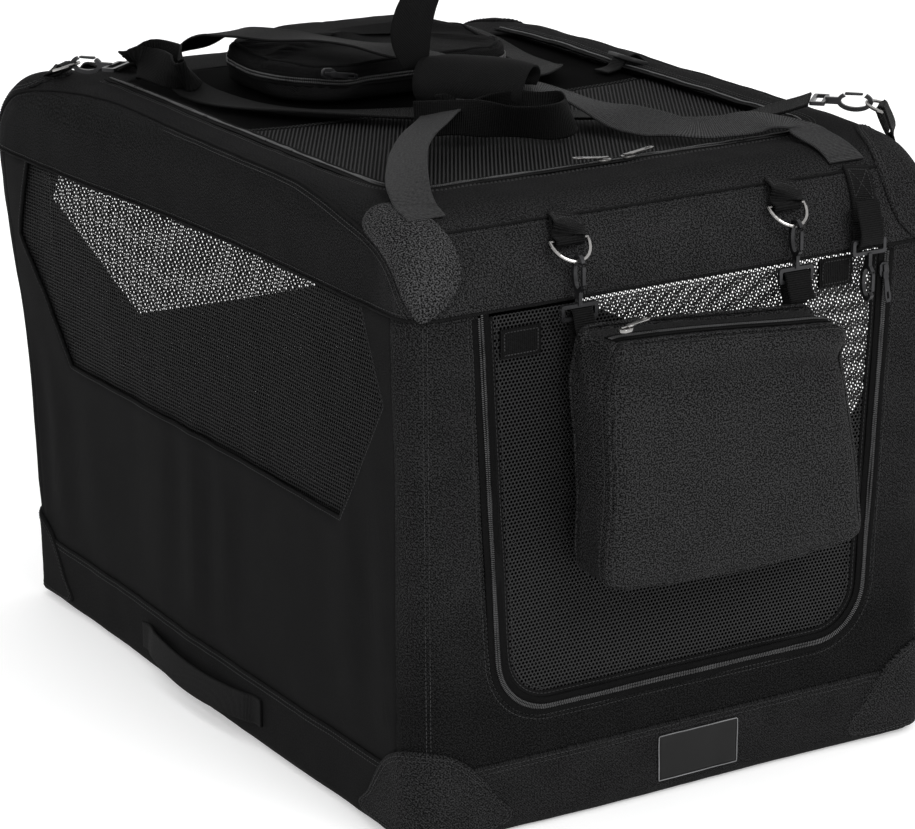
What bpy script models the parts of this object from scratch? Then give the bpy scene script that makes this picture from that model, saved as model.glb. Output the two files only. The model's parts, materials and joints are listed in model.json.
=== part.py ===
"""Folding soft-sided pet carrier.

X is the width, Y the depth with the front door at -Y, and Z is up. The origin is on the floor, under
the middle of the shell. Lengths are metres.

Inside the cloth shell stand two end frames. Each is a lower and an upper U-shaped tube, pinned
together at the knees at half height. The cross tubes of the lower pair turn in the eyes of two base
rails, and those of the upper pair in the eyes of two top rails, so the knees fold inwards and the
roof comes straight down onto the skirt of the base tray.
"""

import bmesh
import bpy
from math import acos, asin, atan2, cos, degrees, pi, radians, sin
from mathutils import Matrix, Vector

# Driving dimensions of the shell
WIDTH = 0.533
LENGTH = 0.762
HEIGHT = 0.533
CLOTH = 0.003
CORNER_RADIUS = 0.030
ROOF_END_RADIUS = 0.075
SKIRT_TOP = 0.066
BAND_BOTTOM = 0.455
GAP = 0.0004

# Folding frame
TUBE_RADIUS = 0.007
TUBE_BEND = 0.018
EYE_CLEARANCE = 0.0005
FRAME_Y = 0.350
BASE_PIVOT_Z = 0.025
TOP_PIVOT_Z = 0.490
KNEE_Z = (BASE_PIVOT_Z + TOP_PIVOT_Z) / 2
LOWER_X = 0.2315
UPPER_X = 0.2495
KNEE_OVERRUN = 0.012
PIN_RADIUS = 0.003
PIN_CLEARANCE = 0.0003
BASE_RAIL_X = 0.2085
TOP_RAIL_X = 0.2275
RAIL_THICKNESS = 0.003

# Openings in the shell
DOOR_TOP_HALF = 0.203
DOOR_BOTTOM_HALF = 0.187
DOOR_BOTTOM = 0.108
DOOR_TOP = 0.4525
DOOR_CORNER = 0.050
ROOF_DOOR_HALF = 0.214
ROOF_DOOR_FRONT = -0.2695
ROOF_DOOR_REAR = 0.262
ROOF_DOOR_CORNER = 0.040
ZIP_GAP = 0.0013

# Webbing and hooks
WEBBING = 0.0026
RING_WIRE = 0.0016
HOOK_PLATE = 0.0035
HOOK_CENTRE = 0.038
GATE_FOOT = 0.0300
GATE_LENGTH = 0.0140
LOCK_X = 0.176
POUCH_HOOK_X = {"left": -0.116, "right": 0.100}
POUCH_AXIS_LIFT = 0.0016
POUCH_DROP = 0.0012

# Windows of open mesh: half width and height of the bottom, middle and top corners
PANE = 0.0012
SIDE_WINDOW = ((0.260, 0.262), (0.335, 0.378), (0.300, BAND_BOTTOM - 0.0015))
REAR_WINDOW = ((0.138, 0.264), (0.219, 0.391), (0.198, BAND_BOTTOM - 0.0015))

# Carry handles and the shoulder strap's route over the roof
HANDLE_Y = 0.335
HANDLE_WIDTH = 0.030
STRAP_ROUTE = [
    (-0.2090, 0.2440, 0.5470), (-0.2000, 0.2320, 0.5520), (-0.1915, 0.2150, 0.5530),
    (-0.1860, 0.1880, 0.5470), (-0.1840, 0.1500, 0.5390), (-0.1810, 0.1120, 0.5375),
    (-0.1690, 0.0700, 0.5375), (-0.1420, 0.0300, 0.5375), (-0.1050, -0.0040, 0.5375),
    (-0.0600, -0.0360, 0.5375), (-0.0120, -0.0680, 0.5375), (0.0350, -0.1020, 0.5375),
    (0.0800, -0.1400, 0.5375), (0.1250, -0.1800, 0.5375), (0.1650, -0.2130, 0.5400),
    (0.1980, -0.2370, 0.5500), (0.2140, -0.2530, 0.5580),
]
HANDLE_END = [(0.185, -0.335, 0.5362), (0.185, -0.305, 0.5380)]
LEFT_LEG = [
    (-0.178, -0.262, 0.5560), (-0.155, -0.208, 0.5680), (-0.124, -0.150, 0.5718),
    (-0.086, -0.096, 0.5718), (-0.042, -0.058, 0.5718),
]
RIGHT_LEG = [
    (0.181, -0.280, 0.5440), (0.158, -0.262, 0.5470), (0.124, -0.258, 0.5460),
    (0.094, -0.246, 0.5450), (0.074, -0.212, 0.5450), (0.064, -0.170, 0.5480),
    (0.058, -0.128, 0.5560), (0.044, -0.086, 0.5680), (0.022, -0.052, 0.5718),
]
REAR_LEG = [
    (0.185, 0.335, 0.5362), (0.185, 0.307, 0.5382), (0.176, 0.276, 0.5580),
    (0.158, 0.242, 0.5790), (0.132, 0.196, 0.5830), (0.104, 0.148, 0.5830),
    (0.080, 0.104, 0.5830), (0.060, 0.064, 0.5830), (0.034, 0.036, 0.5830),
]
REAR_APEX = (0, 0.026, 0.5830)
TOP_POUCH_LOW = (-0.148, 0.050, 0.5331)
TOP_POUCH_HIGH = (0.122, 0.238, 0.575)
TOP_POUCH_CORNER = 0.045
TOP_POUCH_ZIP = (-0.100, 0.565)

HALF_W = WIDTH / 2
HALF_L = LENGTH / 2

model = bpy.data.collections.new("pet_carrier")
cutters = bpy.data.collections.new("cutters")


# ---------------------------------------------------------------- scene and materials

def clear_scene():
    for item in list(bpy.data.objects):
        bpy.data.objects.remove(item)
    bpy.context.scene.collection.children.link(model)
    bpy.context.scene.collection.children.link(cutters)


def make_material(name, colour, roughness, metallic=0.0):
    material = bpy.data.materials.new(name)
    material.use_nodes = True
    shader = material.node_tree.nodes["Principled BSDF"]
    shader.inputs["Base Color"].default_value = (*colour, 1.0)
    shader.inputs["Roughness"].default_value = roughness
    shader.inputs["Metallic"].default_value = metallic
    return material


# ---------------------------------------------------------------- outlines, in metres

def arc(cx, cy, radius, start, end, steps=8):
    """Points on a circle, from one angle to another, in degrees."""
    angles = [radians(start + (end - start) * i / steps) for i in range(steps + 1)]
    return [(cx + radius * cos(a), cy + radius * sin(a)) for a in angles]


def circle(cx, cy, radius, steps=24):
    return arc(cx, cy, radius, 0, 360 - 360 / steps, steps - 1)


def rounded_rectangle(x0, y0, x1, y1, radius, steps=6):
    return (
        arc(x1 - radius, y0 + radius, radius, -90, 0, steps)
        + arc(x1 - radius, y1 - radius, radius, 0, 90, steps)
        + arc(x0 + radius, y1 - radius, radius, 90, 180, steps)
        + arc(x0 + radius, y0 + radius, radius, 180, 270, steps)
    )


def band_outline(path, thickness):
    """The closed outline of a strip of even thickness along an open path."""
    left, right = [], []
    for i, point in enumerate(path):
        before = Vector(path[max(i - 1, 0)])
        after = Vector(path[min(i + 1, len(path) - 1)])
        along = (after - before).normalized()
        across = Vector((-along.y, along.x)) * thickness / 2
        left.append(tuple(Vector(point) + across))
        right.append(tuple(Vector(point) - across))
    return left + right[::-1]


def tapered_link(a, b, radius_a, radius_b, steps=8):
    """Two circles joined by their outer tangents."""
    a, b = Vector(a), Vector(b)
    along = degrees(atan2(b.y - a.y, b.x - a.x))
    lean = degrees(acos((radius_a - radius_b) / (b - a).length))
    return arc(a.x, a.y, radius_a, along + lean, along + 360 - lean, steps) + arc(
        b.x, b.y, radius_b, along - lean, along + lean, steps
    )


def door_outline(inset):
    """The front door: straight under the band, leaning sides, round bottom corners."""
    top, bottom = DOOR_TOP - inset, DOOR_BOTTOM + inset
    wide, narrow = DOOR_TOP_HALF - inset, DOOR_BOTTOM_HALF - inset
    radius = DOOR_CORNER - inset
    lean = degrees(atan2(wide - narrow, top - bottom))
    right = arc(narrow - radius, bottom + radius, radius, -90, -lean, 8) + [(wide, top)]
    left = [(-x, z) for x, z in right[::-1]]
    return right + left


def window_outline(corners, grow):
    """A six-sided window from half its corners: bottom, middle and top."""
    (low_half, low_z), (middle_half, middle_z), (top_half, top_z) = corners
    right = [(low_half + grow, low_z - grow), (middle_half + grow, middle_z), (top_half + grow, top_z)]
    return right + [(-u, z) for u, z in right[::-1]]


# ---------------------------------------------------------------- solids

def keep(obj, name, material):
    obj.name = name
    obj.data.name = name
    obj.data.materials.clear()
    obj.data.materials.append(material)
    return obj


def new_mesh_object(bm, collection=None):
    bmesh.ops.recalc_face_normals(bm, faces=bm.faces)
    mesh = bpy.data.meshes.new("mesh")
    bm.to_mesh(mesh)
    bm.free()
    obj = bpy.data.objects.new("piece", mesh)
    (collection or model).objects.link(obj)
    return obj


def mesh_from_curve(curve_object, collection=None):
    """A welded mesh in place of a curve, so that it can be cut and joined."""
    bpy.context.view_layer.update()
    evaluated = curve_object.evaluated_get(bpy.context.evaluated_depsgraph_get())
    mesh = bpy.data.meshes.new_from_object(evaluated)
    bm = bmesh.new()
    bm.from_mesh(mesh)
    bmesh.ops.remove_doubles(bm, verts=bm.verts, dist=1e-6)
    obj = new_mesh_object(bm, collection)
    obj.matrix_world = curve_object.matrix_world
    bpy.data.objects.remove(curve_object)
    return obj


PLANES = {
    "XY": Matrix(((1, 0, 0), (0, 1, 0), (0, 0, 1))),
    "XZ": Matrix(((1, 0, 0), (0, 0, -1), (0, 1, 0))),
    "YZ": Matrix(((0, 0, 1), (1, 0, 0), (0, 1, 0))),
}
NORMALS = {"XY": Vector((0, 0, 1)), "XZ": Vector((0, 1, 0)), "YZ": Vector((1, 0, 0))}


def plate(outline, depth, plane, middle, holes=(), collection=None):
    """A flat outline in one of the three planes, extruded by depth about its middle."""
    curve = bpy.data.curves.new("outline", "CURVE")
    curve.dimensions = "2D"
    curve.fill_mode = "BOTH"
    curve.extrude = depth / 2
    for loop in (outline, *holes):
        spline = curve.splines.new("POLY")
        spline.points.add(len(loop) - 1)
        spline.use_cyclic_u = True
        for point, (u, v) in zip(spline.points, loop):
            point.co = (u, v, 0, 1)
    obj = bpy.data.objects.new("outline", curve)
    model.objects.link(obj)
    obj.matrix_world = Matrix.Translation(NORMALS[plane] * middle) @ PLANES[plane].to_4x4()
    return mesh_from_curve(obj, collection)


def add_bevel(obj, width, segments, angle=50):
    bevel = obj.modifiers.new("round", "BEVEL")
    bevel.width = width
    bevel.segments = segments
    bevel.limit_method = "ANGLE"
    bevel.angle_limit = radians(angle)
    return bevel


def tube(points, radius, cyclic=False, resolution=4):
    curve = bpy.data.curves.new("tube", "CURVE")
    curve.dimensions = "3D"
    curve.bevel_depth = radius
    curve.bevel_resolution = resolution
    curve.use_fill_caps = True
    spline = curve.splines.new("POLY")
    spline.points.add(len(points) - 1)
    spline.use_cyclic_u = cyclic
    for point, place in zip(spline.points, points):
        point.co = (*place, 1)
    obj = bpy.data.objects.new("tube", curve)
    model.objects.link(obj)
    return mesh_from_curve(obj)


def strap(points, width, thickness):
    """Webbing that lies flat side up along a smooth path through the points."""
    profile_curve = bpy.data.curves.new("webbing_section", "CURVE")
    profile_curve.dimensions = "2D"
    section = profile_curve.splines.new("POLY")
    section.points.add(3)
    section.use_cyclic_u = True
    corners = ((-1, -1), (1, -1), (1, 1), (-1, 1))
    for point, (u, v) in zip(section.points, corners):
        point.co = (u * width / 2, v * thickness / 2, 0, 1)
    profile = bpy.data.objects.new("webbing_section", profile_curve)
    cutters.objects.link(profile)
    profile.hide_render = True
    profile.display_type = "WIRE"
    curve = bpy.data.curves.new("strap", "CURVE")
    curve.dimensions = "3D"
    curve.twist_mode = "Z_UP"
    curve.bevel_mode = "OBJECT"
    curve.bevel_object = profile
    curve.use_fill_caps = True
    spline = curve.splines.new("POLY")
    path = smooth_path(points)
    spline.points.add(len(path) - 1)
    for point, place in zip(spline.points, path):
        point.co = (*place, 1)
    obj = bpy.data.objects.new("strap", curve)
    model.objects.link(obj)
    return mesh_from_curve(obj)


def smooth_path(points, per_span=5):
    """A Catmull-Rom curve through the points."""
    places = [Vector(p) for p in points]
    places = [2 * places[0] - places[1], *places, 2 * places[-1] - places[-2]]
    path = []
    for a, b, c, d in zip(places, places[1:], places[2:], places[3:]):
        for i in range(per_span):
            t = i / per_span
            path.append(
                0.5 * (2 * b + (c - a) * t + (2 * a - 5 * b + 4 * c - d) * t * t
                       + (3 * b - a - 3 * c + d) * t * t * t)
            )
    path.append(places[-2])
    return path


def cylinder(start, end, radius, collection=None, sides=20):
    start, end = Vector(start), Vector(end)
    bm = bmesh.new()
    bmesh.ops.create_cone(
        bm, cap_ends=True, segments=sides, radius1=radius, radius2=radius,
        depth=(end - start).length,
    )
    obj = new_mesh_object(bm, collection)
    turn = (end - start).to_track_quat("Z", "Y").to_matrix().to_4x4()
    obj.matrix_world = Matrix.Translation((start + end) / 2) @ turn
    return obj


def turned(profile, place):
    """A round piece about the X axis. The profile is (x, radius) pairs, from +X to -X."""
    mesh = bpy.data.meshes.new("profile")
    mesh.from_pydata([(r, 0, x) for x, r in profile],
                     [(i, i + 1) for i in range(len(profile) - 1)], [])
    obj = bpy.data.objects.new("turned", mesh)
    model.objects.link(obj)
    screw = obj.modifiers.new("turn", "SCREW")
    screw.axis = "Z"
    screw.angle = 2 * pi
    screw.steps = 20
    screw.render_steps = 20
    screw.use_merge_vertices = True
    screw.merge_threshold = 1e-5
    obj.matrix_world = Matrix.Translation(place) @ Matrix.Rotation(pi / 2, 4, "Y")
    return obj


def cutter(obj):
    obj.hide_render = True
    obj.display_type = "WIRE"
    return obj


def boolean(obj, tool, operation="DIFFERENCE"):
    modifier = obj.modifiers.new(operation.lower(), "BOOLEAN")
    modifier.operation = operation
    modifier.object = tool
    modifier.solver = "EXACT"
    return obj


def attach(empty, *pieces):
    """Parent pieces to the empty on their joint's axis, and leave them where they are."""
    bpy.context.view_layer.update()
    for piece in pieces:
        piece.parent = empty
        piece.matrix_parent_inverse = empty.matrix_world.inverted()


def pivot(name, place, parent=None):
    empty = bpy.data.objects.new(name + "_pivot", None)
    empty.empty_display_size = 0.02
    model.objects.link(empty)
    empty.location = place
    if parent:
        attach(parent, empty)
    bpy.context.view_layer.update()
    return empty


# ---------------------------------------------------------------- soft shell

def make_tray():
    """The base cloth: floor and skirt in one open box."""
    bm = bmesh.new()
    loop = rounded_rectangle(-HALF_W, -HALF_L, HALF_W, HALF_L, CORNER_RADIUS)
    low = [bm.verts.new((x, y, 0)) for x, y in loop]
    floor = bm.faces.new(low)
    walls = bmesh.ops.extrude_edge_only(bm, edges=floor.edges[:])
    raised = [v for v in walls["geom"] if isinstance(v, bmesh.types.BMVert)]
    bmesh.ops.translate(bm, vec=(0, 0, SKIRT_TOP), verts=raised)
    tray = new_mesh_object(bm)
    add_bevel(tray, 0.010, 3)
    thicken(tray, CLOTH)
    return keep(tray, "base_tray", cloth)


def thicken(obj, thickness):
    """Cloth thickness, added to the inside."""
    solidify = obj.modifiers.new("cloth", "SOLIDIFY")
    solidify.thickness = thickness
    solidify.offset = -1
    return solidify


def make_floor_board():
    inset = CLOTH + 0.006
    outline = rounded_rectangle(
        -HALF_W + inset, -HALF_L + inset, HALF_W - inset, HALF_L - inset, CORNER_RADIUS - inset
    )
    thickness = 0.006
    board = plate(outline, thickness, "XY", CLOTH + 0.0006 + thickness / 2)
    return keep(board, "floor_board", board_grey)


def end_wall_path(sign):
    """Plan of an end wall with its two round corners, half the cloth's thickness inside."""
    radius = CORNER_RADIUS - CLOTH / 2
    x, y = HALF_W - CORNER_RADIUS, HALF_L - CORNER_RADIUS
    corner_left = arc(-x, -y, radius, 180, 270, 6)
    corner_right = arc(x, -y, radius, 270, 360, 6)
    return [(u, v * sign) for u, v in corner_left + corner_right]


def wall_height():
    low = SKIRT_TOP + GAP
    high = BAND_BOTTOM - GAP
    return high - low, (low + high) / 2


def make_end_wall(name, sign):
    depth, middle = wall_height()
    wall = plate(band_outline(end_wall_path(sign), CLOTH), depth, "XY", middle)
    return keep(wall, name, cloth)


def make_side_wall(name, sign):
    depth, middle = wall_height()
    x = sign * (HALF_W - CLOTH / 2)
    y = HALF_L - CORNER_RADIUS - GAP
    wall = plate(band_outline([(x, -y), (x, y)], CLOTH), depth, "XY", middle)
    opening = plate(window_outline(SIDE_WINDOW, 0.0), 0.02, "YZ", x, collection=cutters)
    boolean(wall, cutter(opening))
    return keep(wall, name, cloth)


def make_side_window(name, sign):
    x = sign * (HALF_W - CLOTH - GAP - PANE / 2)
    return keep(plate(window_outline(SIDE_WINDOW, 0.005), PANE, "YZ", x), name, mesh_cloth)


def make_rear_window():
    y = HALF_L - CLOTH - GAP - PANE / 2
    return keep(plate(window_outline(REAR_WINDOW, 0.005), PANE, "XZ", y), "window_rear", mesh_cloth)


def make_side_grip(name, sign):
    """A sagging carry loop sewn to the skirt."""
    path = []
    for i in range(13):
        along = -1 + i / 6
        bow = 0.004 + 0.018 * cos(along * pi / 2) ** 0.6
        path.append((sign * (HALF_W + bow), 0.104 * along))
    strip = plate(band_outline(path, 0.003), 0.026, "XY", 0.036)
    return keep(strip, name, webbing)


def roof_profile():
    """Half of the end-to-end section of the roof shell, front bottom to the middle of the top."""
    front = arc(
        -HALF_L + ROOF_END_RADIUS, HEIGHT - ROOF_END_RADIUS, ROOF_END_RADIUS, 180, 90, 10
    )
    return [(-HALF_L, BAND_BOTTOM)] + front


def make_roof_shell():
    """The top band and roof in one lid, with the roof door cut out."""
    front = roof_profile()
    profile = front + [(-y, z) for y, z in front[::-1]]
    bm = bmesh.new()
    ring = [bm.verts.new((-HALF_W, y, z)) for y, z in profile]
    side = bm.faces.new(ring)
    grown = bmesh.ops.extrude_face_region(bm, geom=[side])
    moved = [v for v in grown["geom"] if isinstance(v, bmesh.types.BMVert)]
    bmesh.ops.translate(bm, vec=(WIDTH, 0, 0), verts=moved)
    bm.normal_update()
    bottom = [f for f in bm.faces if abs(f.calc_center_median().z - BAND_BOTTOM) < 1e-6]
    bmesh.ops.delete(bm, geom=bottom, context="FACES_ONLY")
    shell = new_mesh_object(bm)
    add_bevel(shell, CORNER_RADIUS, 4, 60)
    thicken(shell, CLOTH)
    outline = rounded_rectangle(
        -ROOF_DOOR_HALF, ROOF_DOOR_FRONT, ROOF_DOOR_HALF, ROOF_DOOR_REAR, ROOF_DOOR_CORNER
    )
    opening = plate(outline, 0.03, "XY", HEIGHT, collection=cutters)
    boolean(shell, cutter(opening))
    return keep(shell, "roof_shell", cloth)


def make_front_door():
    panel = 0.002
    door = plate(door_outline(ZIP_GAP), panel, "XZ", -HALF_L + CLOTH / 2)
    return keep(door, "front_door", mesh_cloth)


def make_roof_door():
    panel = 0.002
    outline = rounded_rectangle(
        -ROOF_DOOR_HALF + ZIP_GAP, ROOF_DOOR_FRONT + ZIP_GAP,
        ROOF_DOOR_HALF - ZIP_GAP, ROOF_DOOR_REAR - ZIP_GAP, ROOF_DOOR_CORNER - ZIP_GAP,
    )
    door = plate(outline, panel, "XY", HEIGHT - CLOTH / 2)
    return keep(door, "roof_door", mesh_cloth)


# ---------------------------------------------------------------- folding frame

def make_u_tube(name, x, y, cross_z, knee_z, direction):
    """A U of tube: two uprights that pass the knee, two bends and a cross tube."""
    end_z = knee_z + direction * KNEE_OVERRUN
    bend_z = cross_z + direction * TUBE_BEND
    inner = x - TUBE_BEND
    turn = [(sin(a), cos(a)) for a in [radians(90 * i / 5) for i in range(6)]]
    right = [(inner + TUBE_BEND * s, bend_z - direction * TUBE_BEND * c) for s, c in turn]
    half = right + [(x, end_z)]
    loop = [(-u, w) for u, w in half[::-1]] + half
    piece = tube([(u, y, w) for u, w in loop], TUBE_RADIUS)
    for side in (-1, 1):
        hole = cylinder(
            (side * (x - 0.012), y, knee_z), (side * (x + 0.012), y, knee_z),
            PIN_RADIUS + PIN_CLEARANCE, cutters,
        )
        boolean(piece, cutter(hole))
    return keep(piece, name, frame_black)


def make_rail(name, x, z):
    """A flat bar with an eye round the cross tube at each end."""
    eye = 0.014
    half_height = 0.007
    neck = degrees(asin(half_height / eye))
    rear = arc(FRAME_Y, z, eye, -180 + neck, 180 - neck, 16)
    outline = rear + [(-y, w) for y, w in rear[::-1]]
    holes = [circle(y, z, TUBE_RADIUS + EYE_CLEARANCE) for y in (-FRAME_Y, FRAME_Y)]
    return keep(plate(outline, RAIL_THICKNESS, "YZ", x, holes), name, frame_black)


def make_sleeve(name, x, y):
    """The plastic collar below a knee."""
    height = 0.030
    hole = circle(x, y, TUBE_RADIUS + 0.0003, 20)
    ring = plate(circle(x, y, 0.0100, 20), height, "XY", KNEE_Z - 0.028, [hole])
    return keep(ring, name, plastic)


def make_knee_pin(name, side, y):
    """A rivet through both tubes at a knee, with a head at each end."""
    low = LOWER_X - TUBE_RADIUS - 0.0003
    high = UPPER_X + TUBE_RADIUS + 0.0003
    head, head_radius = 0.0016, 0.0052
    profile = [
        (high + head, 0), (high + head, head_radius), (high, head_radius), (high, PIN_RADIUS),
        (low, PIN_RADIUS), (low, head_radius), (low - head, head_radius), (low - head, 0),
    ]
    if side < 0:
        profile = [(-x, r) for x, r in profile[::-1]]
    return keep(turned(profile, (0, y, KNEE_Z)), name, steel)


# ---------------------------------------------------------------- webbing, rings, hooks

def band_point(angle, offset):
    """A point on the round front edge of the roof, lifted off it by offset."""
    radius = ROOF_END_RADIUS + offset
    a = radians(angle)
    return (
        -HALF_L + ROOF_END_RADIUS - radius * cos(a),
        HEIGHT - ROOF_END_RADIUS + radius * sin(a),
    )


def make_pouch_tab(name, x, bar):
    """Doubled webbing sewn on the roof's front edge, folded round the ring's bar."""
    outline = tapered_link(band_point(62, 0.0025), bar, 0.0013, 0.0045)
    tab = plate(outline, 0.028, "YZ", x, [circle(*bar, RING_WIRE + 0.0006, 12)])
    return keep(tab, name, webbing)


def make_strap_tab(name, bar, along):
    """The same tab at a corner of the roof, turned towards the shoulder strap."""
    outline = tapered_link((-0.010, -0.004), (0, 0), 0.0013, 0.0042)
    tab = plate(outline, 0.024, "YZ", 0.0, [circle(0, 0, RING_WIRE + 0.0006, 12)])
    turn = Matrix.Rotation(atan2(along.y, along.x) - pi / 2, 4, "Z")
    tab.matrix_world = Matrix.Translation(bar) @ turn @ tab.matrix_world
    return keep(tab, name, webbing)


def make_ring(name, bar_middle, across, down, width=0.036, height=0.020):
    """A D-ring: a straight bar along across, and a round side towards down."""
    bar_middle, across, down = Vector(bar_middle), Vector(across), Vector(down)
    half = width / 2
    bow = [(half * cos(a), height * sin(a)) for a in [pi * i / 14 for i in range(15)]]
    points = [bar_middle + across * u + down * v for u, v in bow]
    points += [bar_middle - across * half * 0.4, bar_middle + across * half * 0.4]
    return keep(tube(points, RING_WIRE, cyclic=True, resolution=2), name, nickel)


def hook_oval(angle, inner):
    half_width, half_height = (0.0052, 0.0122) if inner else (0.0090, 0.0160)
    a = radians(angle)
    return half_width * cos(a), HOOK_CENTRE + half_height * sin(a)


def make_hook(name, frame):
    """A swivel hook: a flat eye for webbing, a neck, and an open oval across it."""
    start, stop = -43, 40
    opening = [hook_oval(-70 + (start + 70) * i / 3, False) for i in range(4)]
    inside = [hook_oval(start - (360 - stop + start) * i / 22, True) for i in range(23)]
    outside = [hook_oval(stop + (250 - stop) * i / 18, False) for i in range(19)]
    oval = plate(
        [(0.003, 0.012), *opening, *inside, *outside, (-0.003, 0.012)], HOOK_PLATE, "YZ", 0.0
    )
    eye = plate(
        rounded_rectangle(-0.0175, 0, 0.0175, 0.0135, 0.002, 2), 0.0034, "XZ", 0.0,
        [rounded_rectangle(-0.0145, 0.0032, 0.0145, 0.0103, 0.001, 2)],
    )
    eye.hide_render = True
    eye.display_type = "WIRE"
    model.objects.unlink(eye)
    cutters.objects.link(eye)
    boolean(oval, eye, "UNION")
    oval.matrix_world = frame @ oval.matrix_world
    eye.matrix_world = frame @ eye.matrix_world
    return keep(oval, name, hook_black)


def make_gate(name, frame):
    """The sprung bar that closes a hook. Its lower end is on its hinge."""
    foot = (0.0066, GATE_FOOT)
    tip = (0.0066, GATE_FOOT + GATE_LENGTH)
    gate = plate(tapered_link(foot, tip, 0.0012, 0.0010, 5), 0.0030, "YZ", 0.0)
    gate.matrix_world = frame @ gate.matrix_world
    return keep(gate, name, hook_black)


def gate_pivot(frame):
    return frame @ Vector((0, 0.0066, GATE_FOOT))


def hook_frame(place, along, eye_normal):
    """Local Z runs from the eye to the hook's top, local Y is the gate's side."""
    z = Vector(along).normalized()
    x = Vector(eye_normal).cross(z).normalized()
    y = z.cross(x)
    turn = Matrix((x, y, z)).transposed().to_4x4()
    return Matrix.Translation(place) @ turn


def make_lock_strap():
    """Webbing from the top band down to the hook that catches the door's zip."""
    lift = 0.0026
    path = [band_point(64 - 59 * i / 8, lift) for i in range(9)]
    path += [(-HALF_L - lift, 0.468)]
    strip = plate(band_outline(path, WEBBING), 0.025, "YZ", LOCK_X)
    return keep(strip, "lock_strap", webbing)


def make_slider(name, outline, plane, middle, depth=0.0026):
    return keep(plate(outline, depth, plane, middle), name, nickel)


def slider_outline(u, v, du, dv):
    """A zip slider and its pull tab. du, dv is the way the pull tab points."""
    along = Vector((du, dv)).normalized()
    across = Vector((-along.y, along.x))
    halves = [(-0.006, 0.0045), (0.006, 0.0045), (0.008, 0.0022), (0.026, 0.0030), (0.030, 0.0018)]
    left = [Vector((u, v)) + along * a + across * b for a, b in halves]
    right = [Vector((u, v)) + along * a - across * b for a, b in halves]
    return [tuple(p) for p in left + right[::-1]]


# ---------------------------------------------------------------- pouches, handles, strap

def make_pouch(name, low, high, radius, plane):
    """A stuffed pouch: a rounded block of cloth."""
    if plane == "XZ":
        outline = rounded_rectangle(low[0], low[2], high[0], high[2], radius)
        block = plate(outline, high[1] - low[1], plane, (low[1] + high[1]) / 2)
    else:
        outline = rounded_rectangle(low[0], low[1], high[0], high[1], radius)
        block = plate(outline, high[2] - low[2], plane, (low[2] + high[2]) / 2)
    add_bevel(block, 0.006, 2)
    return keep(block, name, cloth)


def make_front_handle():
    """Limp webbing: the left leg stands in an arch, the right one lies low on the roof."""
    left_end = [(-x, y, z) for x, y, z in HANDLE_END]
    points = left_end + LEFT_LEG + [(0, -0.046, 0.5718)] + RIGHT_LEG[::-1] + HANDLE_END[::-1]
    return keep(strap(points, HANDLE_WIDTH, WEBBING), "front_handle", webbing)


def make_rear_handle():
    """A loop that lies forward over the roof pouch, towards the grip."""
    points = [(-x, y, z) for x, y, z in REAR_LEG] + [REAR_APEX] + REAR_LEG[::-1]
    return keep(strap(points, HANDLE_WIDTH, WEBBING), "rear_handle", webbing)


def make_grip():
    """The padded wrap on the front handle, open, with one flap standing."""
    top = 0.5735
    path = [(-0.060, top + 0.009), (-0.040, top + 0.010), (-0.022, top + 0.012),
            (-0.012, top + 0.024), (-0.010, top + 0.052)]
    outline = band_outline(path, 0.012)
    grip = plate(outline, 0.110, "YZ", -0.002)
    return keep(grip, "handle_grip", cloth)


def make_shoulder_strap():
    return keep(strap(STRAP_ROUTE, 0.032, WEBBING), "shoulder_strap", webbing)


# ---------------------------------------------------------------- assembly

clear_scene()
cloth = make_material("cloth", (0.030, 0.030, 0.032), 0.85)
mesh_cloth = make_material("mesh_cloth", (0.020, 0.020, 0.021), 0.75)
webbing = make_material("webbing", (0.026, 0.026, 0.028), 0.70)
frame_black = make_material("frame_black", (0.020, 0.020, 0.022), 0.45)
board_grey = make_material("board_grey", (0.055, 0.055, 0.058), 0.90)
plastic = make_material("plastic", (0.022, 0.022, 0.024), 0.50)
steel = make_material("steel", (0.45, 0.45, 0.46), 0.35, 1.0)
nickel = make_material("nickel", (0.66, 0.65, 0.62), 0.22, 1.0)
hook_black = make_material("hook_black", (0.045, 0.045, 0.048), 0.35, 0.6)

# Base and walls
make_tray()
make_floor_board()
front_wall = make_end_wall("wall_front", 1)
doorway = plate(door_outline(0.0), 0.03, "XZ", -HALF_L, collection=cutters)
boolean(front_wall, cutter(doorway))
rear_wall = make_end_wall("wall_rear", -1)
rear_opening = plate(window_outline(REAR_WINDOW, 0.0), 0.03, "XZ", HALF_L, collection=cutters)
boolean(rear_wall, cutter(rear_opening))
make_rear_window()
for side_name, side in (("left", -1), ("right", 1)):
    make_side_wall("wall_" + side_name, side)
    make_side_window("window_" + side_name, side)
    make_side_grip("side_grip_" + side_name, side)
    make_rail("base_rail_" + side_name, side * BASE_RAIL_X, BASE_PIVOT_Z)

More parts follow.
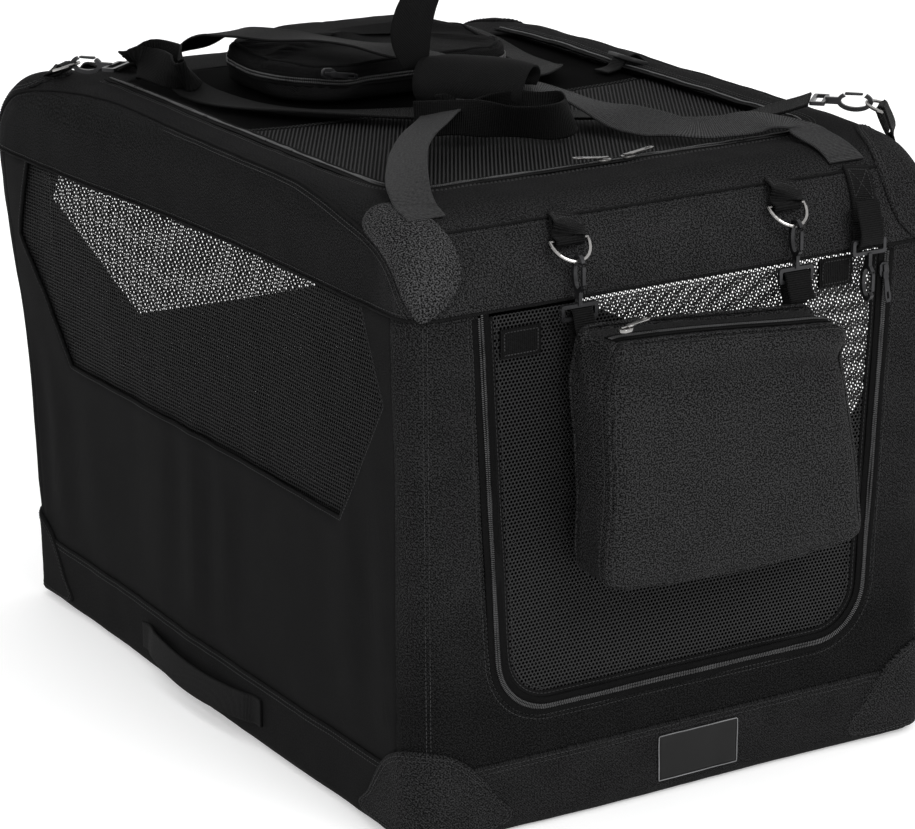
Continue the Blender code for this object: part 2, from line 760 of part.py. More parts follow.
# Folding frame: front and rear end frames
lower_pivots = {}
for end_name, end in (("front", -1), ("rear", 1)):
    end_y = end * FRAME_Y
    lower_pivots[end_name] = pivot(end_name + "_lower", (0, end_y, BASE_PIVOT_Z))
    knee_pivot = pivot(end_name + "_upper", (0, end_y, KNEE_Z), lower_pivots[end_name])
    lower_tube = make_u_tube(end_name + "_lower_tube", LOWER_X, end_y, BASE_PIVOT_Z, KNEE_Z, 1)
    upper_tube = make_u_tube(end_name + "_upper_tube", UPPER_X, end_y, TOP_PIVOT_Z, KNEE_Z, -1)
    attach(lower_pivots[end_name], lower_tube)
    attach(knee_pivot, upper_tube)
    for side_name, side in (("left", -1), ("right", 1)):
        sleeve = make_sleeve(f"{end_name}_sleeve_{side_name}", side * LOWER_X, end_y)
        pin = make_knee_pin(f"{end_name}_knee_pin_{side_name}", side, end_y)
        attach(lower_pivots[end_name], sleeve, pin)
    if end_name == "front":
        roof_pivot = pivot("roof", (0, end_y, TOP_PIVOT_Z), knee_pivot)

# Roof, its rails and its doors
attach(roof_pivot, make_roof_shell())
for side_name, side in (("left", -1), ("right", 1)):
    attach(roof_pivot, make_rail("top_rail_" + side_name, side * TOP_RAIL_X, TOP_PIVOT_Z))
roof_door_pivot = pivot("roof_door", (0, ROOF_DOOR_REAR, HEIGHT - CLOTH / 2), roof_pivot)
top_pouch = make_pouch("top_pouch", TOP_POUCH_LOW, TOP_POUCH_HIGH, TOP_POUCH_CORNER, "XY")
attach(roof_door_pivot, make_roof_door(), top_pouch)
front_door_pivot = pivot("front_door", (0, -HALF_L + CLOTH / 2, DOOR_TOP - ZIP_GAP))
attach(front_door_pivot, make_front_door())

# Front pouch on two rings and hooks
ring_bar = band_point(33, 0.009)
ring_low = (-0.392, ring_bar[1] - 0.0145)
hook_top = ring_low[1] + RING_WIRE + 0.0003
hook_eye_z = hook_top - (HOOK_CENTRE + 0.0122)
hanger_pivot = pivot("pouch_hanger", (0, ring_low[0], ring_low[1]), roof_pivot)
for side_name, x in POUCH_HOOK_X.items():
    middle = (x, *ring_bar)
    drop = Vector((0, ring_low[0] - ring_bar[0], ring_low[1] - ring_bar[1]))
    attach(roof_pivot, make_pouch_tab("pouch_tab_" + side_name, x, ring_bar))
    ring = make_ring("pouch_ring_" + side_name, middle, (1, 0, 0), drop.normalized(),
                     height=drop.length)
    attach(roof_pivot, ring)
    hook_place = hook_frame((x, ring_low[0], hook_eye_z), (0, 0, 1), (0, -1, 0))
    attach(hanger_pivot, make_hook("pouch_hook_" + side_name, hook_place))
    gate_axis = pivot("pouch_gate_" + side_name, gate_pivot(hook_place), hanger_pivot)
    attach(gate_axis, make_gate("pouch_gate_" + side_name, hook_place))
pouch_axis_z = hook_eye_z + POUCH_AXIS_LIFT
pouch_pivot = pivot("front_pouch", (0, ring_low[0], pouch_axis_z), hanger_pivot)
pouch_top = hook_eye_z - POUCH_DROP
pouch_low = (-0.1225, -0.4555, pouch_top - 0.204)
pouch_high = (0.1205, -0.3895, pouch_top)
attach(pouch_pivot, make_pouch("front_pouch", pouch_low, pouch_high, 0.014, "XZ"))
pouch_zip = make_slider(
    "pouch_slider", slider_outline(-0.104, pouch_low[1] + 0.014, 1, 0.25), "XY", pouch_top + 0.0018
)
attach(pivot("pouch_slider", (-0.104, pouch_low[1] + 0.014, pouch_top), pouch_pivot), pouch_zip)

# Door lock strap, its hook and the zip sliders
attach(roof_pivot, make_lock_strap())
lock_z = 0.4676
lock_place = hook_frame((LOCK_X, -0.392, lock_z), (0, 0, -1), (0, -1, 0))
lock_pivot = pivot("lock_hook", (LOCK_X, -0.392, lock_z), roof_pivot)
attach(lock_pivot, make_hook("lock_hook", lock_place))
attach(pivot("lock_gate", gate_pivot(lock_place), lock_pivot), make_gate("lock_gate", lock_place))
door_zip_x = 0.1995
door_zip_z = 0.436
door_slider = make_slider(
    "door_slider", slider_outline(door_zip_x, door_zip_z, 0.10, -1), "XZ", -HALF_L - 0.0018
)
attach(pivot("door_slider", (door_zip_x, -HALF_L, door_zip_z), roof_pivot), door_slider)
for side_name, x in (("left", -0.012), ("right", 0.012)):
    toward = -1 if x < 0 else 1
    roof_zip = make_slider(
        "roof_slider_" + side_name, slider_outline(x, ROOF_DOOR_FRONT, toward, 0.15), "XY",
        HEIGHT + 0.0018,
    )
    attach(pivot("roof_slider_" + side_name, (x, ROOF_DOOR_FRONT, HEIGHT), roof_pivot), roof_zip)
zip_x, zip_z = TOP_POUCH_ZIP
pouch_y = TOP_POUCH_LOW[1]
top_zip = make_slider(
    "top_pouch_slider", slider_outline(zip_x, zip_z, 1, 0), "XZ", pouch_y - 0.0018
)
attach(pivot("top_pouch_slider", (zip_x, pouch_y, zip_z), roof_door_pivot), top_zip)

# Shoulder strap: tabs, rings and hooks at opposite corners of the roof
strap_ends = {"rear": STRAP_ROUTE[1::-1], "front": STRAP_ROUTE[-2:]}
for end_name, (before, end) in strap_ends.items():
    along = Vector(end) - Vector(before)
    along.z = 0
    along.normalize()
    place = hook_frame(Vector(end) + along * 0.0020, along, (0, 0, 1))
    attach(roof_pivot, make_hook("strap_hook_" + end_name, place))
    gate_axis = pivot("strap_gate_" + end_name, gate_pivot(place), roof_pivot)
    attach(gate_axis, make_gate("strap_gate_" + end_name, place))
    across = along.cross(Vector((0, 0, 1))).normalized()
    ring_edge = place @ Vector((0, 0, HOOK_CENTRE + 0.0122 - RING_WIRE - 0.0003))
    drop = (Vector((0, 0, -0.30)) + along * 0.95).normalized()
    bar = ring_edge + drop * 0.016
    ring = make_ring("strap_ring_" + end_name, bar, across, -drop, width=0.034, height=0.016)
    attach(roof_pivot, ring, make_strap_tab("strap_tab_" + end_name, bar, along))
attach(roof_pivot, make_shoulder_strap())

# Carry handles
front_handle_pivot = pivot("front_handle", (0, -HANDLE_Y, 0.5362), roof_pivot)
attach(front_handle_pivot, make_front_handle(), make_grip())
rear_handle_pivot = pivot("rear_handle", (0, HANDLE_Y, 0.5362), roof_pivot)
attach(rear_handle_pivot, make_rear_handle())
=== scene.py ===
"""Looks of the folding pet carrier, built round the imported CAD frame. Lengths are metres."""

import json
from functools import partial
from math import cos, exp, pi, radians, sin, sqrt

import bmesh
import bpy
from mathutils import Matrix, Vector, noise


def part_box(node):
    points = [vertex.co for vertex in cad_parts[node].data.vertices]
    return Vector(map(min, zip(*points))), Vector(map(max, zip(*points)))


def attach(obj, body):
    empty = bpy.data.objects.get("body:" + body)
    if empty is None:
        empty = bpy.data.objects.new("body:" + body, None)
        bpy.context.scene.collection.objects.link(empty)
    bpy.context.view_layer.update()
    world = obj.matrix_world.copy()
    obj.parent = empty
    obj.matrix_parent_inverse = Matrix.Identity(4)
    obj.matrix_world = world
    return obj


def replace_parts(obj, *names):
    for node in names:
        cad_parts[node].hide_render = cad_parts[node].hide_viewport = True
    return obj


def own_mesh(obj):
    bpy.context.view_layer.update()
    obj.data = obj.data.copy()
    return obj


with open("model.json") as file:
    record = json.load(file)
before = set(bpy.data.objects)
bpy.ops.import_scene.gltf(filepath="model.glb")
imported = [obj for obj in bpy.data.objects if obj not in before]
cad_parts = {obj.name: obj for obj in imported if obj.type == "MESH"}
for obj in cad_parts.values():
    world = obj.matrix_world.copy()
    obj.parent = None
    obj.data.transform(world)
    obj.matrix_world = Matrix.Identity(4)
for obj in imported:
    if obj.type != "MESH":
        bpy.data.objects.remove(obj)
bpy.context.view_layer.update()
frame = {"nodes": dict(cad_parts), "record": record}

# Shell sizes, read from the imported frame
HALF_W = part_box("wall_right")[1].x
HALF_L = -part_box("wall_front")[0].y
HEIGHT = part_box("roof_shell")[1].z
SKIRT_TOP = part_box("base_tray")[1].z
BAND_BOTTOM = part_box("roof_shell")[0].z

# Shell shape
CORNER = 0.030
ROOF_ARC = 0.075
CLOTH = 0.0028
NET_THICKNESS = 0.0002
STRAIGHT_X = HALF_W - CORNER
STRAIGHT_Y = HALF_L - CORNER
QUARTER = CORNER * pi / 2
SIDE_START = STRAIGHT_X + QUARTER
SIDE_END = SIDE_START + 2 * STRAIGHT_Y
HALF_RUN = SIDE_END + QUARTER + STRAIGHT_X
LIP = HEIGHT - ROOF_ARC - BAND_BOTTOM
ARC_END = LIP + ROOF_ARC * pi / 2
ROOF_RUN = 2 * (ARC_END + HALF_L - ROOF_ARC)
WALL_TOP = BAND_BOTTOM + 0.002
WALL_LOW = SKIRT_TOP - 0.002

# Openings
DOOR_TOP_HALF = 0.203
DOOR_BOTTOM_HALF = 0.187
DOOR_BOTTOM = 0.108
DOOR_TOP = 0.4525
DOOR_CORNER = 0.050
DOOR_INSET = 0.0015
ROOF_DOOR_HALF = 0.214
ROOF_DOOR_FRONT = -0.2695
ROOF_DOOR_REAR = 0.262
ROOF_DOOR_CORNER = 0.040

# Half width and height of each window at its bottom, at its widest and at its top
SIDE_WINDOW = ((0.260, 0.262), (0.335, 0.378), (0.300, 0.4535))
REAR_WINDOW = ((0.138, 0.264), (0.219, 0.391), (0.198, 0.4535))

# The soft box leans at its rear left corner, out at the top and in at the bottom
LEAN_REACH = 0.46
LEAN_OUT = 0.022
LEAN_IN = 0.012

# The right edge of the roof, pulled up by its zip
EDGE_RISE = 0.008

# The front seam of the roof band, in degrees round its edge
BAND_SEAM = 52.5

# Threads, tapes and webbing
STITCH = 0.0040
TOOTH_PITCH = 0.0017
TAPE_LOOP = [(0.0, 0.0), (0.0075, 0.0), (0.0082, 0.0005), (0.0075, 0.0009), (0.0, 0.0009)]
HANDLE_WIDTH = 0.036
TAB_LEAN = 0.010
GRIP_BOW = 0.0085

UP = Vector((0, 0, 1))


# ---------------------------------------------------------------- cloth surfaces

def smooth_step(low, high, value):
    share = min(1.0, max(0.0, (value - low) / (high - low)))
    return share * share * (3 - 2 * share)


def blend_of(low, high, share):
    return low + (high - low) * share


def soft(p, normal):
    """How far the cloth stands out of its pattern at p, along its outward normal."""
    wide = 0.0024 * noise.noise(p * 6.0)
    fold = 0.0010 * noise.noise(Vector((p.x * 26, p.y * 26, p.z * 5)))
    crease = 0.0005 * noise.noise(p * 55.0)
    stand = wide + fold + crease
    # The rear left corner leans
    corner = sqrt((p.x + HALF_W) ** 2 + (p.y - HALF_L) ** 2)
    near = 1 - smooth_step(0.02, LEAN_REACH, corner)
    upright = 1 - normal.z * normal.z
    rise = smooth_step(0.20, 0.46, p.z)
    tuck = LEAN_IN * max(0.0, normal.y) ** 2 + 0.006 * normal.x ** 2
    tuck *= (1 - 0.6 * smooth_step(0.0, 0.20, p.z)) * (1 - rise)
    stand += near * (upright * LEAN_OUT * rise - tuck)
    # The roof's right edge is pulled up
    edge = smooth_step(0.17, 0.25, p.x) * (1 - smooth_step(0.22, 0.36, abs(p.y)))
    stand += EDGE_RISE * edge * smooth_step(0.3, 0.9, normal.z)
    # Slack ripples low on the side walls
    if abs(normal.x) > 0.3:
        low = smooth_step(0.07, 0.12, p.z) * (1 - smooth_step(0.20, 0.30, p.z))
        stand += 0.0014 * sin(p.y * 70 + 2 * sin(p.y * 19)) * low
    return stand


def plan(run):
    """A point on the shell's outline in plan and its outward normal. run goes right from the
    middle of the front, and a negative run goes left."""
    if abs(run) > HALF_RUN:
        run -= 2 * HALF_RUN * (1 if run > 0 else -1)
    side = 1 if run >= 0 else -1
    run = abs(run)
    if run < STRAIGHT_X:
        x, y, a = run, -HALF_L, -pi / 2
    elif run < SIDE_START:
        a = -pi / 2 + (run - STRAIGHT_X) / CORNER
        x, y = STRAIGHT_X + CORNER * cos(a), -STRAIGHT_Y + CORNER * sin(a)
    elif run < SIDE_END:
        x, y, a = HALF_W, run - SIDE_START - STRAIGHT_Y, 0.0
    elif run < SIDE_END + QUARTER:
        a = (run - SIDE_END) / CORNER
        x, y = STRAIGHT_X + CORNER * cos(a), STRAIGHT_Y + CORNER * sin(a)
    else:
        x, y, a = STRAIGHT_X - (run - SIDE_END - QUARTER), HALF_L, pi / 2
    return Vector((side * x, y, 0)), Vector((side * cos(a), sin(a), 0))


def wall(run, z):
    """A point of the walls or skirt, and its outward normal."""
    p, normal = plan(run)
    p.z = z
    return p + normal * soft(p, normal), normal


def roof_profile(t):
    """The roof's section from front to rear: y, z and the outward normal."""
    end = -1
    if t > ROOF_RUN / 2:
        t, end = ROOF_RUN - t, 1
    if t <= LIP:
        return end * HALF_L, BAND_BOTTOM + t, Vector((0, end, 0))
    if t < ARC_END:
        a = (t - LIP) / ROOF_ARC
        y = HALF_L - ROOF_ARC + ROOF_ARC * cos(a)
        return end * y, HEIGHT - ROOF_ARC + ROOF_ARC * sin(a), Vector((0, end * cos(a), sin(a)))
    return end * (HALF_L - ROOF_ARC - (t - ARC_END)), HEIGHT, Vector((0, 0, 1))


def roof(t, w):
    """A point of the roof lid and its normal. t runs from the front hem over the top to the rear
    hem, and w across, over the side edges and down the side bands."""
    y, z, normal = roof_profile(t)
    p = Vector((w, y, z))
    if abs(w) > STRAIGHT_X:
        side = 1 if w > 0 else -1
        turn = min((abs(w) - STRAIGHT_X) / CORNER, pi / 2)
        centre = Vector((side * STRAIGHT_X, y, z)) - normal * CORNER
        normal = normal * cos(turn) + Vector((side, 0, 0)) * sin(turn)
        p = centre + normal * CORNER
        p.z -= max(0.0, abs(w) - SIDE_START)
    return p + normal * soft(p, normal), normal


def roof_xy(x, y):
    """The roof lid's top by x and y."""
    return roof(ROOF_RUN / 2 + y, x)


def door_surface(x, z):
    """The front door's mesh, which hollows a little between its zips."""
    centre = Vector((0, -HALF_L + 0.0010, 0))
    hollow = 0.007 * max(0, 1 - (x / 0.19) ** 2) * max(0, 1 - ((z - 0.28) / 0.17) ** 2)
    ripple = 0.0012 * noise.noise(Vector((x * 14, 0, z * 14)))
    return Vector((x, centre.y + hollow + ripple, z)), Vector((0, -1, 0))


def lid_surface(x, y):
    """The roof door, which sags between the top rails."""
    sag = 0.004 * max(0, 1 - (x / 0.21) ** 2) * max(0, 1 - ((y + 0.004) / 0.26) ** 2)
    ripple = 0.0009 * noise.noise(Vector((x * 16, y * 16, 0)))
    return Vector((x, y, HEIGHT - 0.0012 - sag + ripple)), Vector((0, 0, 1))


# ---------------------------------------------------------------- paths

def sample(corners, counts):
    """Points along the legs of a line, with a set count of steps on each leg."""
    points = []
    for start, stop, count in zip(corners, corners[1:], counts):
        a, b = Vector(start), Vector(stop)
        points += [a.lerp(b, i / count) for i in range(count)]
    return points + [Vector(corners[-1])]


def resample(points, step, closed=False):
    """The same line with points an even step apart."""
    places = [Vector(p) for p in points]
    if closed:
        places.append(places[0])
    lengths = [0.0]
    for a, b in zip(places, places[1:]):
        lengths.append(lengths[-1] + (b - a).length)
    count = max(2, round(lengths[-1] / step))
    even, leg = [], 0
    for i in range(count + (0 if closed else 1)):
        wanted = lengths[-1] * i / count
        while leg < len(lengths) - 2 and lengths[leg + 1] < wanted:
            leg += 1
        span = lengths[leg + 1] - lengths[leg]
        share = (wanted - lengths[leg]) / span if span > 0 else 0
        even.append(places[leg].lerp(places[leg + 1], share))
    return even


def line_length(points):
    return sum((b - a).length for a, b in zip(points, points[1:]))


def catmull(points, steps=8, closed=False):
    """A smooth curve through the points."""
    places = [Vector(p) for p in points]
    if closed:
        places = [places[-1], *places, places[0], places[1]]
    else:
        places = [2 * places[0] - places[1], *places, 2 * places[-1] - places[-2]]
    path = []
    for a, b, c, d in zip(places, places[1:], places[2:], places[3:]):
        for i in range(steps):
            t = i / steps
            path.append(0.5 * (2 * b + (c - a) * t + (2 * a - 5 * b + 4 * c - d) * t * t
                               + (3 * b - a - 3 * c + d) * t * t * t))
    return path if closed else path + [places[-2]]


def arc_points(cx, cy, radius, start, stop, steps=10):
    angles = [radians(start + (stop - start) * i / steps) for i in range(steps + 1)]
    return [(cx + radius * cos(a), cy + radius * sin(a)) for a in angles]


def door_path(grow=0.0, top=DOOR_TOP):
    """The U of the door's zip, from its top left to its top right."""
    wide, narrow = DOOR_TOP_HALF + grow, DOOR_BOTTOM_HALF + grow
    bottom = DOOR_BOTTOM - grow
    radius = DOOR_CORNER + grow
    right = arc_points(narrow - radius, bottom + radius, radius, -90, -3, 12) + [(wide, top)]
    return [(-x, z) for x, z in right[::-1]] + right


def lid_path(grow=0.0):
    """The roof door's zip, from its rear left round the front to its rear right."""
    half, front, radius = ROOF_DOOR_HALF + grow, ROOF_DOOR_FRONT - grow, ROOF_DOOR_CORNER + grow
    corner = arc_points(half - radius, front + radius, radius, -90, 0, 10)
    right = corner + [(half, ROOF_DOOR_REAR)]
    return [(-x, y) for x, y in right[::-1]] + right


def round_box(half, front, rear, radius, steps):
    """A box in plan, from -half to half and from front to rear, with round corners."""
    return (
        arc_points(half - radius, front + radius, radius, -90, 0, steps)
        + arc_points(half - radius, rear - radius, radius, 0, 90, steps)
        + arc_points(-half + radius, rear - radius, radius, 90, 180, steps)
        + arc_points(-half + radius, front + radius, radius, 180, 270, steps)
    )


def rectangle(x0, x1, y0, y1):
    return [(x0, y0), (x1, y0), (x1, y1), (x0, y1)]


def round_loop(wide, high, rise=0.0):
    """The section of a welt or piping: an eight-sided ellipse."""
    return [(wide * cos(a), rise + high * sin(a)) for a in [pi * k / 4 for k in range(8)]]


def level_row(half, level, steps):
    """Places across a level, from -half to half."""
    return [(half * (2 * k / steps - 1), level) for k in range(steps + 1)]


def frames_on(surface, path, closed=False):
    """(point, normal, side) along a path drawn on a surface. side points right of the way."""
    placed = [surface(p[0], p[1]) for p in path]
    return frames_along([p for p, _ in placed], [n for _, n in placed], closed)


def frames_along(points, normals, closed=False):
    """(point, normal, side) at each point, with the normal made square to the line."""
    found = []
    last = len(points) - 1
    for i, (p, normal) in enumerate(zip(points, normals)):
        before = points[i - 1] if i > 0 or closed else p
        after = points[(i + 1) % len(points)] if i < last or closed else p
        side = (after - before).cross(normal).normalized()
        square = side.cross(after - before).normalized()
        found.append((Vector(p), square, side))
    return found


def lifted(frames, lift):
    return [(p + normal * lift, normal, side) for p, normal, side in frames]


# ---------------------------------------------------------------- meshes

def add_object(name, data):
    obj = bpy.data.objects.new(name, data)
    bpy.context.scene.collection.objects.link(obj)
    return obj


def new_piece(name, verts, faces, material, uvs=None):
    mesh = bpy.data.meshes.new(name)
    mesh.from_pydata([tuple(v) for v in verts], [], faces)
    if uvs:
        layer = mesh.uv_layers.new(name="UVMap")
        for loop in mesh.loops:
            layer.data[loop.index].uv = uvs[loop.vertex_index]
    mesh.polygons.foreach_set("use_smooth", [True] * len(mesh.polygons))
    mesh.materials.append(material)
    mesh.validate()
    return add_object(name, mesh)


def grid_faces(rows, columns, wrap=False):
    """Four-sided faces between rows of points. wrap joins each row's end to its start."""
    faces = []
    for i in range(rows - 1):
        for j in range(columns if wrap else columns - 1):
            k = (j + 1) % columns
            faces.append((i * columns + j, i * columns + k, (i + 1) * columns + k,
                          (i + 1) * columns + j))
    return faces


def panel(name, surface, rows, material, thickness=CLOTH, lift=0.0):
    """Cloth over rows of places on a surface, thickened inwards."""
    verts, uvs = [], []
    for row in rows:
        for place in row:
            p, normal = surface(place[0], place[1])
            verts.append(p + normal * lift)
            uvs.append((place[0], place[1]))
    obj = new_piece(name, verts, grid_faces(len(rows), len(rows[0])), material, uvs)
    thicken(obj, thickness, 1 if surface_faces_in(obj, surface, rows) else -1)
    return obj


def surface_faces_in(obj, surface, rows):
    """True if the mesh's first whole face looks inwards."""
    face = obj.data.polygons[len(obj.data.polygons) // 2]
    middle = len(rows) // 2 if len(rows) > 2 else 0
    place = rows[middle][len(rows[0]) // 2]
    _, normal = surface(place[0], place[1])
    return face.normal.dot(normal) < 0


def thicken(obj, thickness, offset):
    """Gives open cloth its thickness, to the side that offset says."""
    solid = obj.modifiers.new("cloth", "SOLIDIFY")
    solid.thickness = thickness
    solid.offset = offset
    freeze(obj)


def evaluated_mesh(obj):
    bpy.context.view_layer.update()
    evaluated = obj.evaluated_get(bpy.context.evaluated_depsgraph_get())
    return bpy.data.meshes.new_from_object(evaluated)


def freeze(obj):
    """Applies the modifiers."""
    mesh = evaluated_mesh(obj)
    obj.modifiers.clear()
    obj.data = mesh


def cut(obj, outline, low, high):
    """Cuts an upright prism with this XY outline out of obj."""
    count = len(outline)
    verts = [(x, y, low) for x, y in outline] + [(x, y, high) for x, y in outline]
    faces = [tuple(range(count))[::-1], tuple(range(count, 2 * count))]
    faces += [(i, (i + 1) % count, count + (i + 1) % count, count + i) for i in range(count)]
    tool = new_piece("cutter", verts, faces, obj.data.materials[0])
    modifier = obj.modifiers.new("cut", "BOOLEAN")
    modifier.operation = "DIFFERENCE"
    modifier.solver = "EXACT"
    modifier.object = tool
    freeze(obj)
    bpy.data.objects.remove(tool)


def sweep(name, frames, loop, material, closed=False):
    """A closed section of (side, height) points carried along the frames."""
    verts, uvs = [], []
    run = 0.0
    rounds = [0.0]
    for a, b in zip(loop, loop[1:]):
        rounds.append(rounds[-1] + sqrt((b[0] - a[0]) ** 2 + (b[1] - a[1]) ** 2))
    for i, (p, normal, side) in enumerate(frames):
        if i:
            run += (p - frames[i - 1][0]).length
        for (across, height), around in zip(loop, rounds):
            verts.append(p + side * across + normal * height)
            uvs.append((run, around))
    count = len(loop)
    faces = [f[::-1] for f in grid_faces(len(frames), count, wrap=True)]
    if closed:
        last = (len(frames) - 1) * count
        for j in range(count):
            k = (j + 1) % count
            faces.append((last + j, j, k, last + k))
    else:
        faces.append(tuple(range(count)))
        faces.append(tuple(range((len(frames) - 1) * count, len(frames) * count))[::-1])
    obj = new_piece(name, verts, faces, material, uvs)
    outward(obj)
    return obj


def outward(obj, weld=0.0):
    """Turns all faces of a closed mesh to look out, once points nearer than weld are merged."""
    bm = bmesh.new()
    bm.from_mesh(obj.data)
    if weld:
        bmesh.ops.remove_doubles(bm, verts=bm.verts, dist=weld)
    bmesh.ops.recalc_face_normals(bm, faces=bm.faces)
    bm.to_mesh(obj.data)
    bm.free()


def join(name, parts):
    """One piece from several, with the first one's materials first."""
    verts, faces, uvs, marks, materials = [], [], [], [], []
    for obj in parts:
        start = len(verts)
        mesh = obj.data
        verts += [obj.matrix_world @ v.co for v in mesh.vertices]
        layer = mesh.uv_layers[0].data if mesh.uv_layers else None
        for material in mesh.materials:
            if material not in materials:
                materials.append(material)
        for face in mesh.polygons:
            faces.append(tuple(start + v for v in face.vertices))
            marks.append(materials.index(mesh.materials[face.material_index]))
            for index in face.loop_indices:
                uvs.append(tuple(layer[index].uv) if layer else (0, 0))
        bpy.data.objects.remove(obj)
    mesh = bpy.data.meshes.new(name)
    mesh.from_pydata([tuple(v) for v in verts], [], faces)
    layer = mesh.uv_layers.new(name="UVMap")
    for data, uv in zip(layer.data, uvs):
        data.uv = uv
    for material in materials:
        mesh.materials.append(material)
    mesh.polygons.foreach_set("use_smooth", [True] * len(faces))
    mesh.polygons.foreach_set("material_index", marks)
    return add_object(name, mesh)


def bar_mesh(rings):
    """Verts and faces of a closed bar from rings of points."""
    count = len(rings[0])
    verts = [v for ring in rings for v in ring]
    faces = grid_faces(len(rings), count, wrap=True)
    faces.append(tuple(range(count))[::-1])
    faces.append(tuple(range(len(verts) - count, len(verts))))
    return verts, faces


class Bars:
    """Many small bars gathered in one mesh: stitches or zip teeth."""

    def __init__(self):
        self.verts, self.faces = [], []

    def add(self, rings):
        start = len(self.verts)
        verts, faces = bar_mesh(rings)
        self.verts += verts
        self.faces += [tuple(start + i for i in face) for face in faces]

    def stitches(self, frames, offset=0.0, lift=0.0003, radius=0.00042):
        """A thread from each frame part of the way to the next."""
        for (p, normal, side), (q, _, _) in zip(frames, frames[1:]):
            start = p + side * offset + normal * (lift - radius)
            stop = start.lerp(q + side * offset + normal * (lift - radius), 0.74)
            rings = []
            for share, size, height in ((0, 0.6, 0), (0.5, 1.0, 0.7), (1, 0.6, 0)):
                middle = start.lerp(stop, share) + normal * radius * height
                rings.append([middle + side * radius * size * cos(a)
                              + normal * radius * size * sin(a)
                              for a in (0.3, 1.56, 2.8, 4.1, 5.3)])
            self.add(rings)

    def teeth(self, frames, inner, outer, lift=0.0014, radius=0.00062):
        """A bar across the tape at each frame."""
        for p, normal, side in frames[:-1]:
            along = normal.cross(side)
            rings = []
            for across, size in ((inner, 0.75), ((inner + outer) / 2, 1.0), (outer, 0.7)):
                middle = p + side * across + normal * lift
                rings.append([middle + along * radius * size * cos(a)
                              + normal * radius * size * sin(a)
                              for a in [pi * k / 3 for k in range(6)]])
            self.add(rings)

    def sew(self, surface, path, closed=False, step=STITCH, **options):
        """A row of stitches along a path drawn on a surface."""
        self.stitches(frames_on(surface, resample(path, step, closed)), **options)

    def piece(self, name, material):
        obj = new_piece(name, self.verts, self.faces, material)
        outward(obj)
        return obj


def place(obj, body, slot, folds=False):
    """Puts a piece on its body. One that folds gets a mesh of its own."""
    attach(obj, body)
    if folds:
        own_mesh(obj)
    return obj


# ---------------------------------------------------------------- materials

class Level:
    """A value in a shader. Arithmetic on it adds Math nodes."""

    def __init__(self, socket):
        self.socket = socket

    def maths(self, operation, other=0.0):
        item = add_node(self.socket.id_data, "Math", {0: self, 1: other}, operation=operation)
        return Level(item.outputs[0])

    def __add__(self, other):
        return self.maths("ADD", other)

    def __sub__(self, other):
        return self.maths("SUBTRACT", other)

    def __mul__(self, other):
        return self.maths("MULTIPLY", other)


def add_node(tree, kind, inputs, **settings):
    item = tree.nodes.new("ShaderNode" + kind)
    for key, value in settings.items():
        setattr(item, key, value)
    for key, value in inputs.items():
        value = value.socket if isinstance(value, Level) else value
        if isinstance(value, bpy.types.NodeSocket):
            tree.links.new(value, item.inputs[key])
        else:
            item.inputs[key].default_value = value
    return item


def connect(value, shader, name):
    shader.id_data.links.new(value.socket, shader.inputs[name])


def new_material(name, roughness, specular, metallic=0.0):
    material = bpy.data.materials.new(name)
    material.use_nodes = True
    shader = material.node_tree.nodes["Principled BSDF"]
    shader.inputs["Roughness"].default_value = roughness
    shader.inputs["Specular IOR Level"].default_value = specular
    shader.inputs["Metallic"].default_value = metallic
    return material, material.node_tree, shader


def millimetres(tree, kind="UV"):
    """The piece's own coordinates in millimetres."""
    if kind == "UV":
        source = add_node(tree, "UVMap", {}, uv_map="UVMap").outputs["UV"]
    else:
        source = add_node(tree, "TexCoord", {}).outputs["Object"]
    return add_node(tree, "VectorMath", {0: source, "Scale": 1000.0}, operation="SCALE").outputs[0]


def turned(tree, vector, angle):
    inputs = {"Vector": vector, "Angle": angle}
    return add_node(tree, "VectorRotate", inputs, rotation_type="Z_AXIS").outputs[0]


def split(tree, vector):
    """A place's three levels, X, Y and Z."""
    return [Level(socket) for socket in add_node(tree, "SeparateXYZ", {0: vector}).outputs]


def grain(tree, vector, scale, detail=2.0):
    inputs = {"Vector": vector, "Scale": scale, "Detail": detail}
    return Level(add_node(tree, "TexNoise", inputs).outputs[0])


def wave(level, pitch, shape="SINE"):
    """A wave of a distance, with this pitch in millimetres."""
    return (level * (2 * pi / pitch)).maths(shape)


def ramp(level, low, high, start=0.0, stop=1.0):
    """The level's place between low and high, from start to stop."""
    inputs = {0: level, 1: low, 2: high, 3: start, 4: stop}
    return Level(add_node(level.socket.id_data, "MapRange", inputs).outputs[0])


def clamp(level):
    return Level(add_node(level.socket.id_data, "Clamp", {0: level}).outputs[0])


def mix(share, first, second):
    """A colour between two, which are colours or sockets."""
    ends = [end if isinstance(end, bpy.types.NodeSocket) else (*end, 1) for end in (first, second)]
    inputs = {0: share, 6: ends[0], 7: ends[1]}
    return add_node(share.socket.id_data, "Mix", inputs, data_type="RGBA").outputs[2]


def finish_cloth(shader, shade, height, dark, light, strength, distance):
    """Colour from shade, 0 to 1, and bump from height."""
    tree = shader.id_data
    tree.links.new(mix(shade, dark, light), shader.inputs["Base Color"])
    bump = add_node(tree, "Bump", {"Height": height, "Strength": strength, "Distance": distance})
    tree.links.new(bump.outputs[0], shader.inputs["Normal"])


